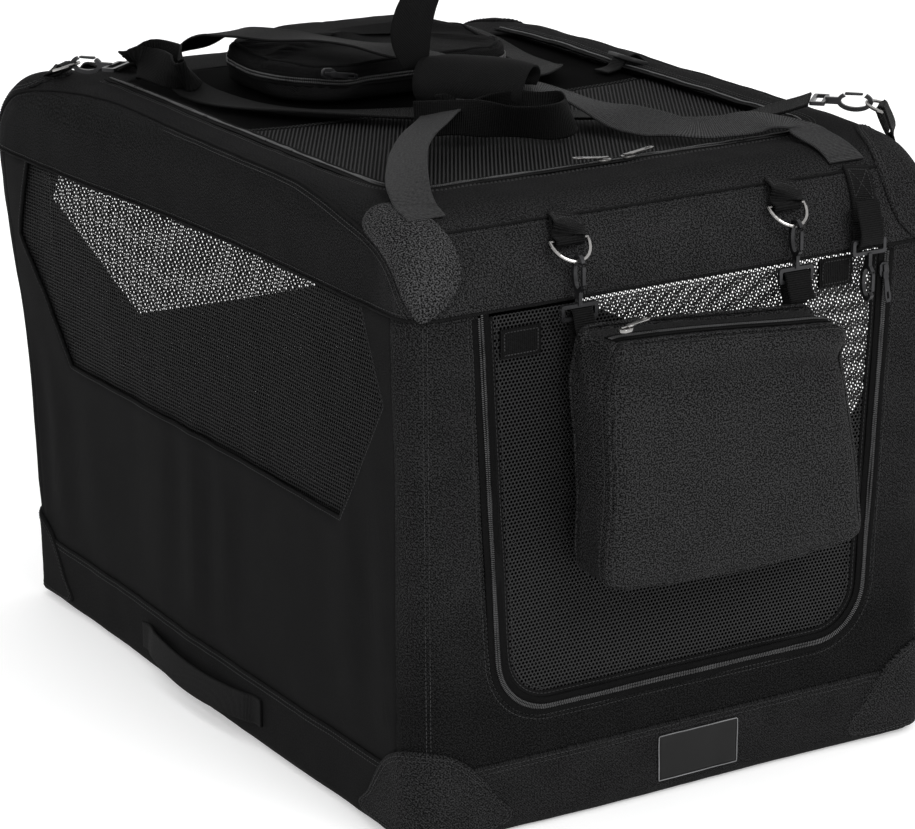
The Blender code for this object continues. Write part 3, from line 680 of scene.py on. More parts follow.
def twill_material(name, dark, light, pitch=2.3, mottle=1.4, painted_light=None, specular=0.05,
                   painted_light_span=(1, -320.0, -362.0), roughness=0.85):
    """Black polyester twill: slanting ribs, speckle and slow changes of tone. Past a span, an axis and two
    places along it in millimetres, the light threads ramp to a lighter colour: painted light."""
    material, tree, shader = new_material(name, roughness, specular)
    place_mm = millimetres(tree)
    x, y, _ = split(tree, place_mm)
    rib = wave(x + y, pitch)
    cross = wave(x - y, pitch * 0.62)
    speckle = grain(tree, place_mm, 0.72, 5.0)
    cloud = grain(tree, place_mm, 0.030, 3.0)
    shade = (speckle - 0.5) * mottle + rib * 0.13 + cross * 0.07 + (cloud - 0.5) * 0.40 + 0.38
    # Painted light: the light threads turn lighter over the span, on the part of the piece that the lamp
    # falls on
    if painted_light:
        axis, start, stop = painted_light_span
        light = mix(ramp(split(tree, millimetres(tree, "Object"))[axis], start, stop), light, painted_light)
    finish_cloth(shader, clamp(shade), rib * 0.5 + cross * 0.3 + speckle, dark, light, 0.6, 0.0005)
    return material


def net_material(name, pitch, threshold, stretch, turn, dark, light, specular):
    """Open knitted net: holes on a triangular lattice, stretched one way."""
    material, tree, shader = new_material(name, 0.6, specular)
    place_mm = millimetres(tree)
    x, y, _ = split(tree, turned(tree, place_mm, turn))
    half_u = x * (pi / pitch)
    tall_v = y * (0.866 * 2 * pi / (pitch * stretch))
    total = wave(x, pitch, "COSINE") + (half_u + tall_v).maths("COSINE")
    total = total + (half_u - tall_v).maths("COSINE")
    total = total + (grain(tree, place_mm, 0.25) - 0.5) * 0.35
    connect(ramp(total, threshold + 0.18, threshold - 0.18), shader, "Alpha")
    finish_cloth(shader, ramp(total, -1.5, threshold, 1.0, 0.0), total * -0.5, dark, light, 0.6, 0.0006)
    return material


def rib_material(name, pitch, turn, dark, light):
    """Knitted net seen as close ribs, with small slots between them."""
    material, tree, shader = new_material(name, 0.7, 0.02)
    place_mm = millimetres(tree)
    x, y, _ = split(tree, turned(tree, place_mm, turn))
    rib = wave(x + grain(tree, place_mm, 0.20) * 0.8, pitch)
    gap = wave(y, pitch * 1.5) * 0.49 - rib
    connect(ramp(gap, 1.62, 1.34), shader, "Alpha")
    crest = rib * 0.5 + 0.5
    finish_cloth(shader, crest * crest, rib, dark, light, 0.6, 0.0006)
    return material


def webbing_material(name, dark, light):
    """Ribbed webbing: bars across the strap and a fine lengthways thread."""
    material, tree, shader = new_material(name, 0.66, 0.08)
    place_mm = millimetres(tree)
    along, across, _ = split(tree, place_mm)
    uneven = grain(tree, place_mm, 0.4)
    bar = wave(along + uneven * 0.5, 1.9)
    fine = wave(across, 1.3)
    shade = clamp(bar * 0.28 + fine * 0.10 + uneven * 0.9)
    finish_cloth(shader, shade, bar + fine * 0.35, dark, light, 0.8, 0.0006)
    return material


def plain_material(name, dark, light, roughness, specular, metallic=0.0, scale=0.05, bump=0.15,
                   depth=0.0003):
    """Metal or moulded plastic with slow wear in its tone and a fine grain."""
    material, tree, shader = new_material(name, roughness, specular, metallic)
    place_mm = millimetres(tree, "Object")
    wear = grain(tree, place_mm, scale, 4.0)
    finish_cloth(shader, ramp(wear, 0.3, 0.7), grain(tree, place_mm, 1.6), dark, light, bump, depth)
    connect(ramp(wear, 0.3, 0.7, roughness * 0.8, min(1.0, roughness * 1.25)), shader, "Roughness")
    return material


def grey(value):
    return (value, value, value * 1.02)


# Cloth, from the darker to the lighter threads
twill = twill_material("twill", grey(0.0030), grey(0.0110), mottle=1.6)
# Painted light: the roof cloth turns lighter over its front edge, from y -320 to -362 mm
roof_twill = twill_material("roof_twill", grey(0.0030), grey(0.0170), mottle=5.0, painted_light=grey(0.036),
                            specular=0.03)
# Painted shade: a darker copy of the roof twill, with less specular, for the roof door's cloth half
painted_shade_lid_twill = twill_material("painted_shade_lid_twill", grey(0.0008), grey(0.0040), specular=0.01)
# Painted light: the skirt turns lighter along its front, from y -320 to -362 mm
twill_skirt = twill_material("twill_skirt", grey(0.0022), grey(0.0105), mottle=3.4, painted_light=grey(0.024))
# Painted light: a lit copy of the wall twill for the front, with stronger speckle as painted glints and
# lighter threads from 120 to 230 mm up
painted_light_front_twill = twill_material("painted_light_front_twill", grey(0.0012), grey(0.0120), mottle=4.6, painted_light=grey(0.0270),
                             painted_light_span=(2, 120.0, 230.0))
# Painted light: lighter copies of the cloth for the front patches, the lightest for the front left top
# patch
painted_light_patch_twill = twill_material("painted_light_patch_twill", grey(0.0020), grey(0.0640), pitch=2.6, mottle=6.0)
low_patch = twill_material("low_patch", grey(0.0020), grey(0.0300), pitch=2.6, mottle=4.6)
pouch_cloth = twill_material("pouch_cloth", grey(0.0008), grey(0.0310), pitch=2.5, mottle=10.0,
                             specular=0.06, roughness=0.65)
top_cloth = twill_material("top_cloth", grey(0.0015), grey(0.0110), mottle=2.0)
# Nets, with the pitch of their holes or ribs in millimetres
net = net_material("net", 2.9, 0.30, 1.30, radians(-38), grey(0.001), grey(0.0085), 0.06)
door_net = net_material("door_net", 3.1, 0.25, 1.0, radians(30), grey(0.002), grey(0.026), 0.10)
roof_net = rib_material("roof_net", 3.4, radians(31), grey(0.0005), grey(0.032))
# Webbing, zips and threads
strapping = webbing_material("strapping", grey(0.0010), grey(0.0085))
# Painted highlight: a lighter copy of the strapping for the front handle, where the lamp catches its
# webbing
painted_highlight_strapping = webbing_material("painted_highlight_strapping", grey(0.0030), grey(0.0660))
# Painted shade: a darker copy of the strapping for the folded slack webbing
painted_shade_strapping = webbing_material("painted_shade_strapping", grey(0.0006), grey(0.0036))
tape = twill_material("zip_tape", grey(0.0020), grey(0.0080), pitch=1.6, mottle=0.8)
# Painted highlight: the coil is a lighter grey than the black tapes, for the glints along its teeth
coil = plain_material("zip_coil", grey(0.020), grey(0.055), 0.32, 0.45)
thread = plain_material("thread", grey(0.013), grey(0.032), 0.55, 0.2)
# Metal, moulded pieces and the label
nickel = plain_material("nickel", (0.22, 0.215, 0.21), (0.42, 0.41, 0.40), 0.24, 0.5, 1.0)
dark_nickel = plain_material("dark_nickel", (0.075, 0.073, 0.07), (0.20, 0.195, 0.19), 0.28, 0.5, 1.0)
hook_metal = plain_material("hook_metal", (0.012, 0.012, 0.013), (0.032, 0.032, 0.034), 0.32, 0.5, 0.6)
steel = plain_material("steel", (0.25, 0.25, 0.26), (0.45, 0.45, 0.46), 0.35, 0.5, 1.0)
paint = plain_material("frame_paint", grey(0.006), grey(0.014), 0.42, 0.3)
moulded = plain_material("moulded", grey(0.006), grey(0.012), 0.45, 0.3)
felt = plain_material("felt", grey(0.008), grey(0.018), 0.95, 0.05, scale=0.3, bump=0.8, depth=0.0008)
label_cloth = plain_material("label_cloth", grey(0.003), grey(0.006), 0.5, 0.2)
label_edge = plain_material("label_edge", grey(0.12), grey(0.20), 0.6, 0.2)

# CAD nodes that stay in view, by their material slot
NODE_MATERIALS = {
    "frame_black": paint, "board_grey": felt, "plastic": moulded, "steel": steel,
    "nickel": nickel, "hook_black": hook_metal,
}
for part in frame["record"]["subparts"]:
    look = NODE_MATERIALS.get(part["material_slot"])
    if look:
        node = frame["nodes"][part["node"]]
        node.data.materials.clear()
        node.data.materials.append(look)

# Stitches gathered by the body that they ride on
wall_threads, roof_threads, door_threads, lid_threads, base_threads = [Bars() for _ in range(5)]


# ---------------------------------------------------------------- shell panels

def make_skirt():
    """Base cloth: an upright skirt, a round lower edge and the floor."""
    stops = [(0.0, SKIRT_TOP), (0.0016, SKIRT_TOP - 0.0008)]
    stops += [(0.0016, SKIRT_TOP - 0.008 * k) for k in range(1, 7)]
    stops += [(0.0012, 0.0095), (-0.0014, 0.0045), (-0.0050, 0.0015), (-0.0100, 0.0004)]
    stops += [(-0.030, 0.0), (-0.090, 0.0), (-0.170, 0.0)]
    count = 300
    verts, uvs = [], []
    for lift, z in stops:
        for i in range(count):
            run = 2 * HALF_RUN * (i / count - 0.5)
            p, normal = wall(run, max(z, 0.01))
            p.z = z
            p += normal * lift
            if lift < -0.02:
                share = (-lift) / 0.24
                p.x *= 1 - share * 0.9
                p.y *= 1 - share * 0.6
            verts.append(p)
            uvs.append((run, z + lift))
    faces = grid_faces(len(stops), count, wrap=True)
    faces.append(tuple(range((len(stops) - 1) * count, len(stops) * count))[::-1])
    obj = new_piece("skirt", verts, faces, twill_skirt, uvs)
    first = obj.data.polygons[count * 3]
    faces_in = first.normal.dot(Vector((first.center.x, first.center.y, 0))) < 0
    thicken(obj, 0.0026, 1 if faces_in else -1)
    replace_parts(place(obj, "root", "cloth"), "base_tray")


def strip_rows(inner, outer, steps):
    """Rows of places from an inner line to an outer one."""
    return [[a.lerp(b, k / steps) for a, b in zip(inner, outer)] for k in range(steps + 1)]


def make_front_wall():
    """Wall cloth round the door, as strips from the door's edge to the wall's."""
    inner = resample(door_path(0.0025, WALL_TOP), 0.0085)
    bottom = [i for i, p in enumerate(inner) if p.y < DOOR_BOTTOM + 0.016]
    first, last = bottom[0], bottom[-1]
    outer = sample([(-SIDE_START, WALL_TOP), (-SIDE_START, WALL_LOW), (SIDE_START, WALL_LOW),
                    (SIDE_START, WALL_TOP)], [first, last - first, len(inner) - 1 - last])
    return panel("front_cloth", wall, strip_rows(inner, outer, 14), painted_light_front_twill)


def side_run(side, y):
    return side * (SIDE_START + STRAIGHT_Y + y)


def rear_run(x):
    return HALF_RUN - x


def window_path(corners, grow=0.0):
    """The window's edge across and up, from one top corner round the bottom to the other."""
    (u0, z0), (u1, z1), (u2, _) = corners
    half = [(-u2 - grow, WALL_TOP), (-u1 - grow, z1), (-u0 - grow * 0.6, z0 - grow)]
    return half + [(-u, z) for u, z in half[::-1]]


def windowed_wall(name, run_at, corners, edge, across):
    """Wall cloth round a window. run_at turns a place across the wall into a run, edge is half the
    wall's width, and across is the count of steps along the window's bottom."""
    counts = [9, 15, across, 15, 9]
    inner = sample(window_path(corners), counts)
    middle = corners[1][1]
    outer = sample([(-edge, WALL_TOP), (-edge, middle), (-edge, WALL_LOW), (edge, WALL_LOW),
                    (edge, middle), (edge, WALL_TOP)], counts)
    rows = [[(run_at(p.x), p.y) for p in row] for row in strip_rows(inner, outer, 14)]
    return panel(name, wall, rows, twill)


def window_net(name, run_at, corners):
    """The window's net, sewn behind the wall."""
    (low_u, low_z), (mid_u, mid_z), (high_u, high_z) = corners
    rows = []
    for level in sample([(0, low_z - 0.006), (0, mid_z), (0, BAND_BOTTOM + 0.001)], [16, 11]):
        z = level.y
        if z < mid_z:
            half = blend_of(low_u, mid_u, (z - low_z) / (mid_z - low_z))
        else:
            half = blend_of(mid_u, high_u, (z - mid_z) / (high_z - mid_z))
        rows.append([(run_at(u), z) for u, z in level_row(half + 0.006, z, 64)])
    return panel(name, wall, rows, net, thickness=NET_THICKNESS, lift=-CLOTH - 0.0004)


def make_roof():
    """The roof lid's cloth with its side bands, cut out round the roof door."""
    arc_steps, flat_steps = 14, 76
    stations = [0.0] + [LIP + (ARC_END - LIP) * i / arc_steps for i in range(arc_steps)]
    stations += [ARC_END + (ROOF_RUN / 2 - ARC_END) * i / (flat_steps / 2)
                 for i in range(flat_steps // 2)]
    stations += [ROOF_RUN / 2] + [ROOF_RUN - t for t in stations[::-1]]
    rows = []
    for t in stations:
        _, z, normal = roof_profile(t)
        depth = z - normal.z * CORNER - BAND_BOTTOM
        half = [STRAIGHT_X * k / 26 for k in range(27)]
        half += [STRAIGHT_X + QUARTER * k / 7 for k in range(1, 8)]
        half += [SIDE_START + max(depth, 0.0004) * k / 6 for k in range(1, 7)]
        rows.append([(t, -w) for w in half[:0:-1]] + [(t, w) for w in half])
    obj = panel("roof_cloth", roof, rows, roof_twill)
    outline = round_box(ROOF_DOOR_HALF, ROOF_DOOR_FRONT, ROOF_DOOR_REAR, ROOF_DOOR_CORNER, 10)
    cut(obj, outline, HEIGHT - 0.03, HEIGHT + 0.03)
    return obj


make_skirt()
front_cloth = place(make_front_wall(), "root", "cloth", folds=True)
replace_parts(front_cloth, "wall_front")
WALLS = (
    ("left", partial(side_run, -1), SIDE_WINDOW, STRAIGHT_Y, 56),
    ("right", partial(side_run, 1), SIDE_WINDOW, STRAIGHT_Y, 56),
    ("rear", rear_run, REAR_WINDOW, STRAIGHT_X + QUARTER, 40),
)
for wall_name, run_at, corners, edge, across in WALLS:
    cloth_piece = windowed_wall("cloth_" + wall_name, run_at, corners, edge, across)
    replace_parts(place(cloth_piece, "root", "cloth", folds=True), "wall_" + wall_name)
    pane = window_net("window_net_" + wall_name, run_at, corners)
    place(pane, "root", "mesh_cloth", folds=True)
    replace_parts(pane, "window_" + wall_name)
roof_cloth = place(make_roof(), "roof", "cloth")
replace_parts(roof_cloth, "roof_shell")


# ---------------------------------------------------------------- doors

def make_door_net():
    """The door's net, as rows as wide as the door is at each height."""
    rows = []
    low, high = DOOR_BOTTOM + DOOR_INSET, DOOR_TOP - 0.0008
    right = [p for p in door_path(-DOOR_INSET) if p[0] > 0]
    for i in range(49):
        z = low + (high - low) * i / 48
        half = right[-1][0]
        for (x0, z0), (x1, z1) in zip(right, right[1:]):
            if z0 <= z <= z1 + 1e-9:
                half = x0 + (x1 - x0) * (z - z0) / max(z1 - z0, 1e-9)
                break
        rows.append(level_row(half, z, 56))
    return panel("door_net", door_surface, rows, door_net, thickness=NET_THICKNESS)


def make_door_binding():
    """Cloth edging sewn round the door's net."""
    edges = [resample(door_path(grow, DOOR_TOP - 0.001), 0.008) for grow in (-DOOR_INSET, -0.0125)]
    steps = min(len(edge) for edge in edges) - 1
    outer, inner = [resample(edge, line_length(edge) / steps)[:steps + 1] for edge in edges]
    rows = strip_rows(outer, inner, 4)
    return panel("door_binding", door_surface, rows, twill, thickness=0.0010, lift=0.0009)


def make_lid():
    """The roof door: net over the front half, cloth over the rear half."""
    made = []
    split = 0.0
    for name, y0, y1, material in (("lid_net", ROOF_DOOR_FRONT + DOOR_INSET, split, roof_net),
                                   ("lid_cloth", split, ROOF_DOOR_REAR - DOOR_INSET, painted_shade_lid_twill)):
        rows = []
        for i in range(41):
            y = y0 + (y1 - y0) * i / 40
            near_end = min(y - ROOF_DOOR_FRONT, ROOF_DOOR_REAR - y) - DOOR_INSET
            radius = ROOF_DOOR_CORNER - DOOR_INSET
            half = ROOF_DOOR_HALF - DOOR_INSET
            if near_end < radius:
                half -= radius - sqrt(max(0.0, radius ** 2 - (radius - near_end) ** 2))
            rows.append(level_row(half, y, 56))
        thickness = NET_THICKNESS if material is roof_net else 0.0018
        made.append(panel(name, lid_surface, rows, material, thickness=thickness))
    return made


door_piece = place(make_door_net(), "front_door", "mesh_cloth", folds=True)
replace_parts(door_piece, "front_door")
place(make_door_binding(), "front_door", "cloth", folds=True)
lid_net_piece, lid_cloth_piece = make_lid()
place(lid_net_piece, "roof_door", "mesh_cloth")
place(lid_cloth_piece, "roof_door", "cloth")
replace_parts(lid_net_piece, "roof_door")


# ---------------------------------------------------------------- zips

def make_zip_half(name, surface, path, sign, body, folds, lift):
    """One side of a zip: its tape and its row of coil. sign is the side of the path it lies on."""
    frames = lifted(frames_on(surface, resample(path, 0.007)), lift)
    strip = sweep(name + "_tape", frames, [(sign * a, b) for a, b in TAPE_LOOP], tape)
    teeth = Bars()
    teeth.teeth(lifted(frames_on(surface, resample(path, TOOTH_PITCH)), lift), sign * 0.0002,
                sign * 0.0024)
    place(strip, body, "cloth", folds)
    place(teeth.piece(name + "_coil", coil), body, "plastic", folds)


make_zip_half("door_zip_outer", wall, door_path(0.0006, BAND_BOTTOM), -1, "root", True, 0.0004)
make_zip_half("door_zip_inner", door_surface, door_path(0.0002, DOOR_TOP), 1, "front_door", True, 0.0012)


make_zip_half("roof_zip_outer", roof_xy, lid_path(0.0008), -1, "roof", False, 0.0002)
make_zip_half("roof_zip_inner", lid_surface, lid_path(0.0), 1, "roof_door", False, 0.0012)


# ---------------------------------------------------------------- patches, seams and stitching

def make_patch(name, surface, outline, centre, material, lift):
    """A rounded patch of cloth, drawn as rings from its middle to its outline."""
    edge = resample(catmull(outline, 8, closed=True), 0.005, closed=True)
    rings = 16
    verts, uvs = [], []
    for k in range(1, rings + 2):
        share = min(1.0, k / rings)
        height = lift if k < rings else lift * (0.75 if k == rings else -0.5)
        for p in edge:
            u = centre[0] + (p.x - centre[0]) * share
            v = centre[1] + (p.y - centre[1]) * share
            point, normal = surface(u, v)
            verts.append(point + normal * height)
            uvs.append((u, v))
    point, normal = surface(*centre)
    verts.append(point + normal * lift)
    uvs.append(centre)
    count = len(edge)
    faces = grid_faces(rings + 1, count, wrap=True)
    faces += [(len(verts) - 1, (j + 1) % count, j) for j in range(count)]
    obj = new_piece(name, verts, faces, material, uvs)
    thicken(obj, 0.0006, 0)
    outward(obj)
    return obj, edge


def shrink(path, centre, amount):
    """The path moved towards a point by an amount."""
    return [p + (Vector(centre) - p).normalized() * amount for p in path]


def sew_patch(name, surface, outline, middle, material, lift, thread_lift, body, threads):
    """A patch on its body, with two rows of stitches inside its edge."""
    patch, edge = make_patch(name, surface, outline, middle, material, lift)
    place(patch, body, "cloth")
    for inset in (0.0030, 0.0066):
        threads.sew(surface, shrink(edge, middle, inset), closed=True, lift=thread_lift)


# Patch outlines: along the roof's section and across it, and along the skirt and up it
TOP_PATCH = [(0.000, 0.256), (0.0218, 0.2674), (0.060, 0.2725), (0.1044, 0.2731), (0.125, 0.268),
             (0.133, 0.255), (0.128, 0.240), (0.110, 0.229), (0.0932, 0.223), (0.070, 0.217),
             (0.0476, 0.215), (0.030, 0.219), (0.0190, 0.227), (0.008, 0.241)]
TOP_PATCH_MIDDLE = (0.065, 0.245)
LOW_PATCH = [(0.175, 0.010), (0.186, 0.040), (0.203, 0.061), (0.225, 0.078), (0.248, 0.087),
             (0.275, 0.086), (0.298, 0.076), (0.3146, 0.062), (0.3346, 0.034), (0.3430, 0.010)]
LOW_PATCH_MIDDLE = (0.262, 0.035)
RIGHT_PATCH_GROW = 1.16
LOW_PATCH_NARROW = 0.93


def make_corner(end, side):
    """The patches of one corner. end is 0 in front and 1 behind."""
    tag = ("front", "rear")[end] + ("_left" if side < 0 else "_right")
    grow = 1.0 if side < 0 else RIGHT_PATCH_GROW
    t0, w0 = TOP_PATCH_MIDDLE
    outline = [(max(0.0, t0 + (t - t0) * grow), side * (w0 + (w - w0) * grow)) for t, w in TOP_PATCH]
    if end:
        outline = [(ROOF_RUN - t, w) for t, w in outline]
    middle = (ROOF_RUN - t0 if end else t0, side * w0)
    # Painted light: the front patches take the lighter cloth copies, and the rear ones the cloth around
    # them
    front_material = painted_light_patch_twill if side < 0 else low_patch
    sew_patch("top_patch_" + tag, roof, outline, middle, roof_twill if end else front_material, 0.0020,
              0.0026, "roof", roof_threads)
    s0, z0 = LOW_PATCH_MIDDLE
    outline = [(s0 + (s - s0) * LOW_PATCH_NARROW, z) for s, z in LOW_PATCH]
    outline = [(side * (HALF_RUN - s if end else s), z) for s, z in outline]
    middle = (side * (HALF_RUN - s0 if end else s0), z0)
    sew_patch("low_patch_" + tag, wall, outline, middle, twill if end else low_patch, 0.0028, 0.0036,
              "root", base_threads)


for end in (0, 1):
    for side in (-1, 1):
        make_corner(end, side)

# Rows of stitches on the walls, skirt and roof
for _, run_at, corners, _, _ in WALLS:
    wall_threads.sew(wall, [(run_at(u), z) for u, z in window_path(corners, 0.003)])
for side in (-1, 1):
    corner = [(side * 0.252, SKIRT_TOP + 0.006), (side * 0.252, BAND_BOTTOM - 0.004)]
    for shift in (-0.0018, 0.0018):
        wall_threads.sew(wall, corner, offset=shift)
for level in (0.0035, 0.0075):
    base_threads.sew(wall, level_row(HALF_RUN, SKIRT_TOP - level, 400), step=0.0042, lift=0.0019)
for grow in (0.0085, 0.0120):
    wall_threads.sew(wall, door_path(grow, BAND_BOTTOM - 0.003))
    roof_threads.sew(roof_xy, lid_path(grow))
for inset in (0.0105, 0.0155):
    door_threads.sew(door_surface, door_path(-inset, DOOR_TOP - 0.004), lift=0.0016)
for y in (0.003, 0.007):
    lid_threads.sew(lid_surface, [(-0.205, y), (0.205, y)])

SIDE_SEAM = TOP_PATCH[:4] + [(0.140, 0.268), (0.225, 0.256), (0.30, 0.252)]


def roof_seams():
    """Welts: round each side edge, across the front and rear, and round the hem."""
    made = []
    cord_loop = round_loop(0.0013, 0.0011, 0.0004)
    for side in (-1, 1):
        half = [(t, side * w) for t, w in SIDE_SEAM]
        whole = half + [(ROOF_RUN - t, w) for t, w in half[::-1]]
        smooth = catmull(whole, 10)
        made.append(sweep("seam", frames_on(roof, resample(smooth, 0.006)), cord_loop, twill))
        for shift in (0.0035, 0.0070):
            roof_threads.sew(roof, smooth, offset=side * shift)
    seam_t = LIP + ROOF_ARC * radians(BAND_SEAM)
    for t in (seam_t, ROOF_RUN - seam_t):
        across = [(t, -0.222), (t, 0.222)]
        made.append(sweep("seam", frames_on(roof, resample(across, 0.006)), cord_loop, twill))
        roof_threads.sew(roof, across, offset=0.0035)
    hem = BAND_BOTTOM + 0.0012
    made.append(sweep("seam", frames_on(wall, level_row(HALF_RUN, hem, 400)), cord_loop, twill))
    roof_threads.sew(wall, level_row(HALF_RUN, hem + 0.0040, 400), lift=0.0006)
    return join("roof_welts", made)


place(roof_seams(), "roof", "cloth")


def make_label():
    """A blank woven label with a pale edge, on the front skirt."""
    x0, x1, z0, z1 = -0.027, 0.055, 0.0145, 0.055
    rows = [[(x0 + (x1 - x0) * k / 24, z0 + (z1 - z0) * i / 12) for k in range(25)] for i in range(13)]
    body = panel("label_face", wall, rows, label_cloth, thickness=0.0008, lift=0.0029)
    edge = resample(rectangle(x0, x1, z0, z1), 0.002, closed=True)
    loop = [(-0.0005, 0.0), (0.0005, 0.0), (0.0004, 0.0006), (-0.0004, 0.0006)]
    frames = lifted(frames_on(wall, edge, closed=True), 0.0026)
    border = sweep("label_rim", frames, loop, label_edge, closed=True)
    return join("label", [body, border])


place(make_label(), "root", "cloth")


# ---------------------------------------------------------------- webbing

def webbing_loop(width, thickness=0.0022):
    """The section of a strap: flat, with round edges and slightly raised selvedges."""
    half, high = width / 2, thickness / 2
    top = [(half, 0.0), (half - 0.0006, high), (half - 0.0022, high * 1.12), (half - 0.0040, high * 0.9),
           (0.0, high)]
    top += [(-a, b) for a, b in top[-2::-1]]
    return top + [(a, -b) for a, b in top[-2:0:-1]]


def strap(name, points, ups, width, body, replaced=(), thickness=0.0022, material=None, steps=6):
    """Webbing along a smooth line. ups are the ways that its face looks."""
    path = catmull(points, steps)
    faces = catmull(ups, steps)
    frames = frames_along(path, [u.normalized() for u in faces])
    obj = sweep(name, frames, webbing_loop(width, thickness), material or strapping)
    place(obj, body, "webbing")
    if replaced:
        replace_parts(obj, *replaced)
    return frames


def box_stitch(bars, frames, first, last, half):
    """A sewn box with a cross in it, between two frames of a strap."""
    def at(share, across):
        place_along = first + (last - first) * share
        i = min(int(place_along), len(frames) - 2)
        p, normal, side = frames[i]
        q = frames[i + 1][0]
        return p.lerp(q, place_along - i) + side * across * half, normal

    corners = [(0, -1), (0, 1), (1, 1), (1, -1), (0, -1), (1, 1), (1, -1), (0, 1)]
    steps = 8
    for (s0, a0), (s1, a1) in zip(corners, corners[1:]):
        ends = [at(s0 + (s1 - s0) * k / steps, a0 + (a1 - a0) * k / steps) for k in range(steps + 1)]
        bars.stitches(frames_along([e[0] for e in ends], [e[1] for e in ends]), lift=0.0012)


def band_point(angle, lift):
    """y and z on the roof's round front edge, lifted off it."""
    radius = ROOF_ARC + lift
    a = radians(angle)
    return -HALF_L + ROOF_ARC - radius * cos(a), HEIGHT - ROOF_ARC + radius * sin(a)


def band_up(angle):
    return Vector((0, -cos(radians(angle)), sin(radians(angle))))


def make_pouch_tab(name, x, node):
    """Webbing sewn in the band's seam, down and round a ring's bar and back under itself."""
    bar = Vector((x, *band_point(33, 0.009)))
    points, ups = [], []
    for angle, lift in ((BAND_SEAM + 1, 0.0016), (BAND_SEAM - 3, 0.0030), (46, 0.0070), (40, 0.0112)):
        points.append((x + TAB_LEAN * (angle - 33) / (BAND_SEAM - 33), *band_point(angle, lift)))
        ups.append(band_up(angle))
    for turn in (60, 0, -60, -120, -180):
        a = radians(turn)
        out = band_up(33) * cos(a) + Vector((0, -sin(radians(33)), -cos(radians(33)))) * -sin(a)
        points.append(bar + out * 0.0036)
        ups.append(out)
    points.append((x + TAB_LEAN / 2, *band_point(42, 0.0042)))
    ups.append(-band_up(42))
    points.append((x + TAB_LEAN, *band_point(BAND_SEAM - 1, 0.0010)))
    ups.append(-band_up(BAND_SEAM - 1))
    frames = strap(name, points, ups, 0.028, "roof", (node,), 0.0019)
    box_stitch(roof_threads, frames, 3, 15, 0.011)


make_pouch_tab("pouch_tab_left_webbing", -0.116, "pouch_tab_left")
make_pouch_tab("pouch_tab_right_webbing", 0.100, "pouch_tab_right")


def make_lock_strap():
    """Webbing down the band and round the eye of the hook that locks the door's zip."""
    x = 0.176
    points, ups = [], []
    for angle in (BAND_SEAM + 2, 44, 34, 24, 14, 4):
        points.append((x + 0.014 * angle / BAND_SEAM, *band_point(angle, 0.0024)))
        ups.append(band_up(angle))
    for y, z, up_y, up_z in ((-0.3845, 0.478, -1, 0), (-0.3875, 0.4665, -0.8, -0.5),
                             (-0.3915, 0.4605, -0.2, -1), (-0.3960, 0.4655, 0.8, -0.4),
                             (-0.3965, 0.4760, 1, 0), (-0.3915, 0.4900, 1, 0),
                             (-0.3880, 0.5000, 1, 0.1)):
        points.append((x, y, z))
        ups.append((0, up_y, up_z))
    frames = strap("lock_strap_webbing", points, ups, 0.025, "roof", ("lock_strap",), 0.0019)
    box_stitch(roof_threads, frames, 2, 14, 0.009)


make_lock_strap()

def on_roof(x, y, lift=0.0022):
    """A place just above the roof's cloth."""
    point, normal = roof_xy(x, y)
    return tuple(point + normal * lift)


# Carry handles: webbing loops sewn to the roof
HANDLE_END = [on_roof(0.186, -0.346), on_roof(0.186, -0.336), on_roof(0.185, -0.322, 0.003),
              (0.183, -0.300, 0.5395)]
LEFT_LEG = [
    on_roof(-0.226, -0.338), on_roof(-0.226, -0.329), on_roof(-0.225, -0.318, 0.003),
    (-0.218, -0.296, 0.5430), (-0.200, -0.262, 0.5500), (-0.174, -0.222, 0.5545),
    (-0.144, -0.186, 0.5570), (-0.114, -0.156, 0.5580), (-0.084, -0.126, 0.5590),
    (-0.052, -0.100, 0.5610),
]
HANDLE_MIDDLE = (-0.016, -0.088, 0.5650)
RIGHT_LEG = [
    (0.181, -0.280, 0.5440), (0.158, -0.262, 0.5470), (0.124, -0.258, 0.5460),
    (0.094, -0.246, 0.5450), (0.078, -0.216, 0.5450), (0.068, -0.182, 0.5460),
    (0.058, -0.148, 0.5500), (0.042, -0.118, 0.5580), (0.016, -0.096, 0.5640),
]
REAR_LEFT = [
    on_roof(-0.186, 0.353), on_roof(-0.186, 0.338), on_roof(-0.183, 0.312),
    (-0.164, 0.276, 0.5450), (-0.142, 0.248, 0.5560), (-0.134, 0.212, 0.5740),
    (-0.126, 0.174, 0.5830), (-0.104, 0.138, 0.5835), (-0.078, 0.104, 0.5830),
    (-0.056, 0.064, 0.5820),
]
REAR_MIDDLE = (-0.034, 0.024, 0.5800)
REAR_RIGHT = [
    on_roof(0.186, 0.353), on_roof(0.186, 0.338), on_roof(0.183, 0.305, 0.003),
    on_roof(0.170, 0.260, 0.004), on_roof(0.158, 0.200, 0.004), on_roof(0.152, 0.140, 0.004),
    on_roof(0.146, 0.085, 0.005), (0.124, 0.040, 0.5440), (0.086, 0.014, 0.5500),
    (0.040, 0.008, 0.5620), (0.000, 0.012, 0.5740),
]


def make_handle(name, points, ups, material):
    """A carry handle's webbing, sewn down at both feet."""
    frames = strap(name + "_webbing", points, ups, HANDLE_WIDTH, name, (name,), material=material)
    threads = Bars()
    for first in (1, len(frames) - 16):
        box_stitch(threads, frames, first, first + 11, 0.015)
    place(threads.piece(name + "_stitching", thread), name, "webbing")


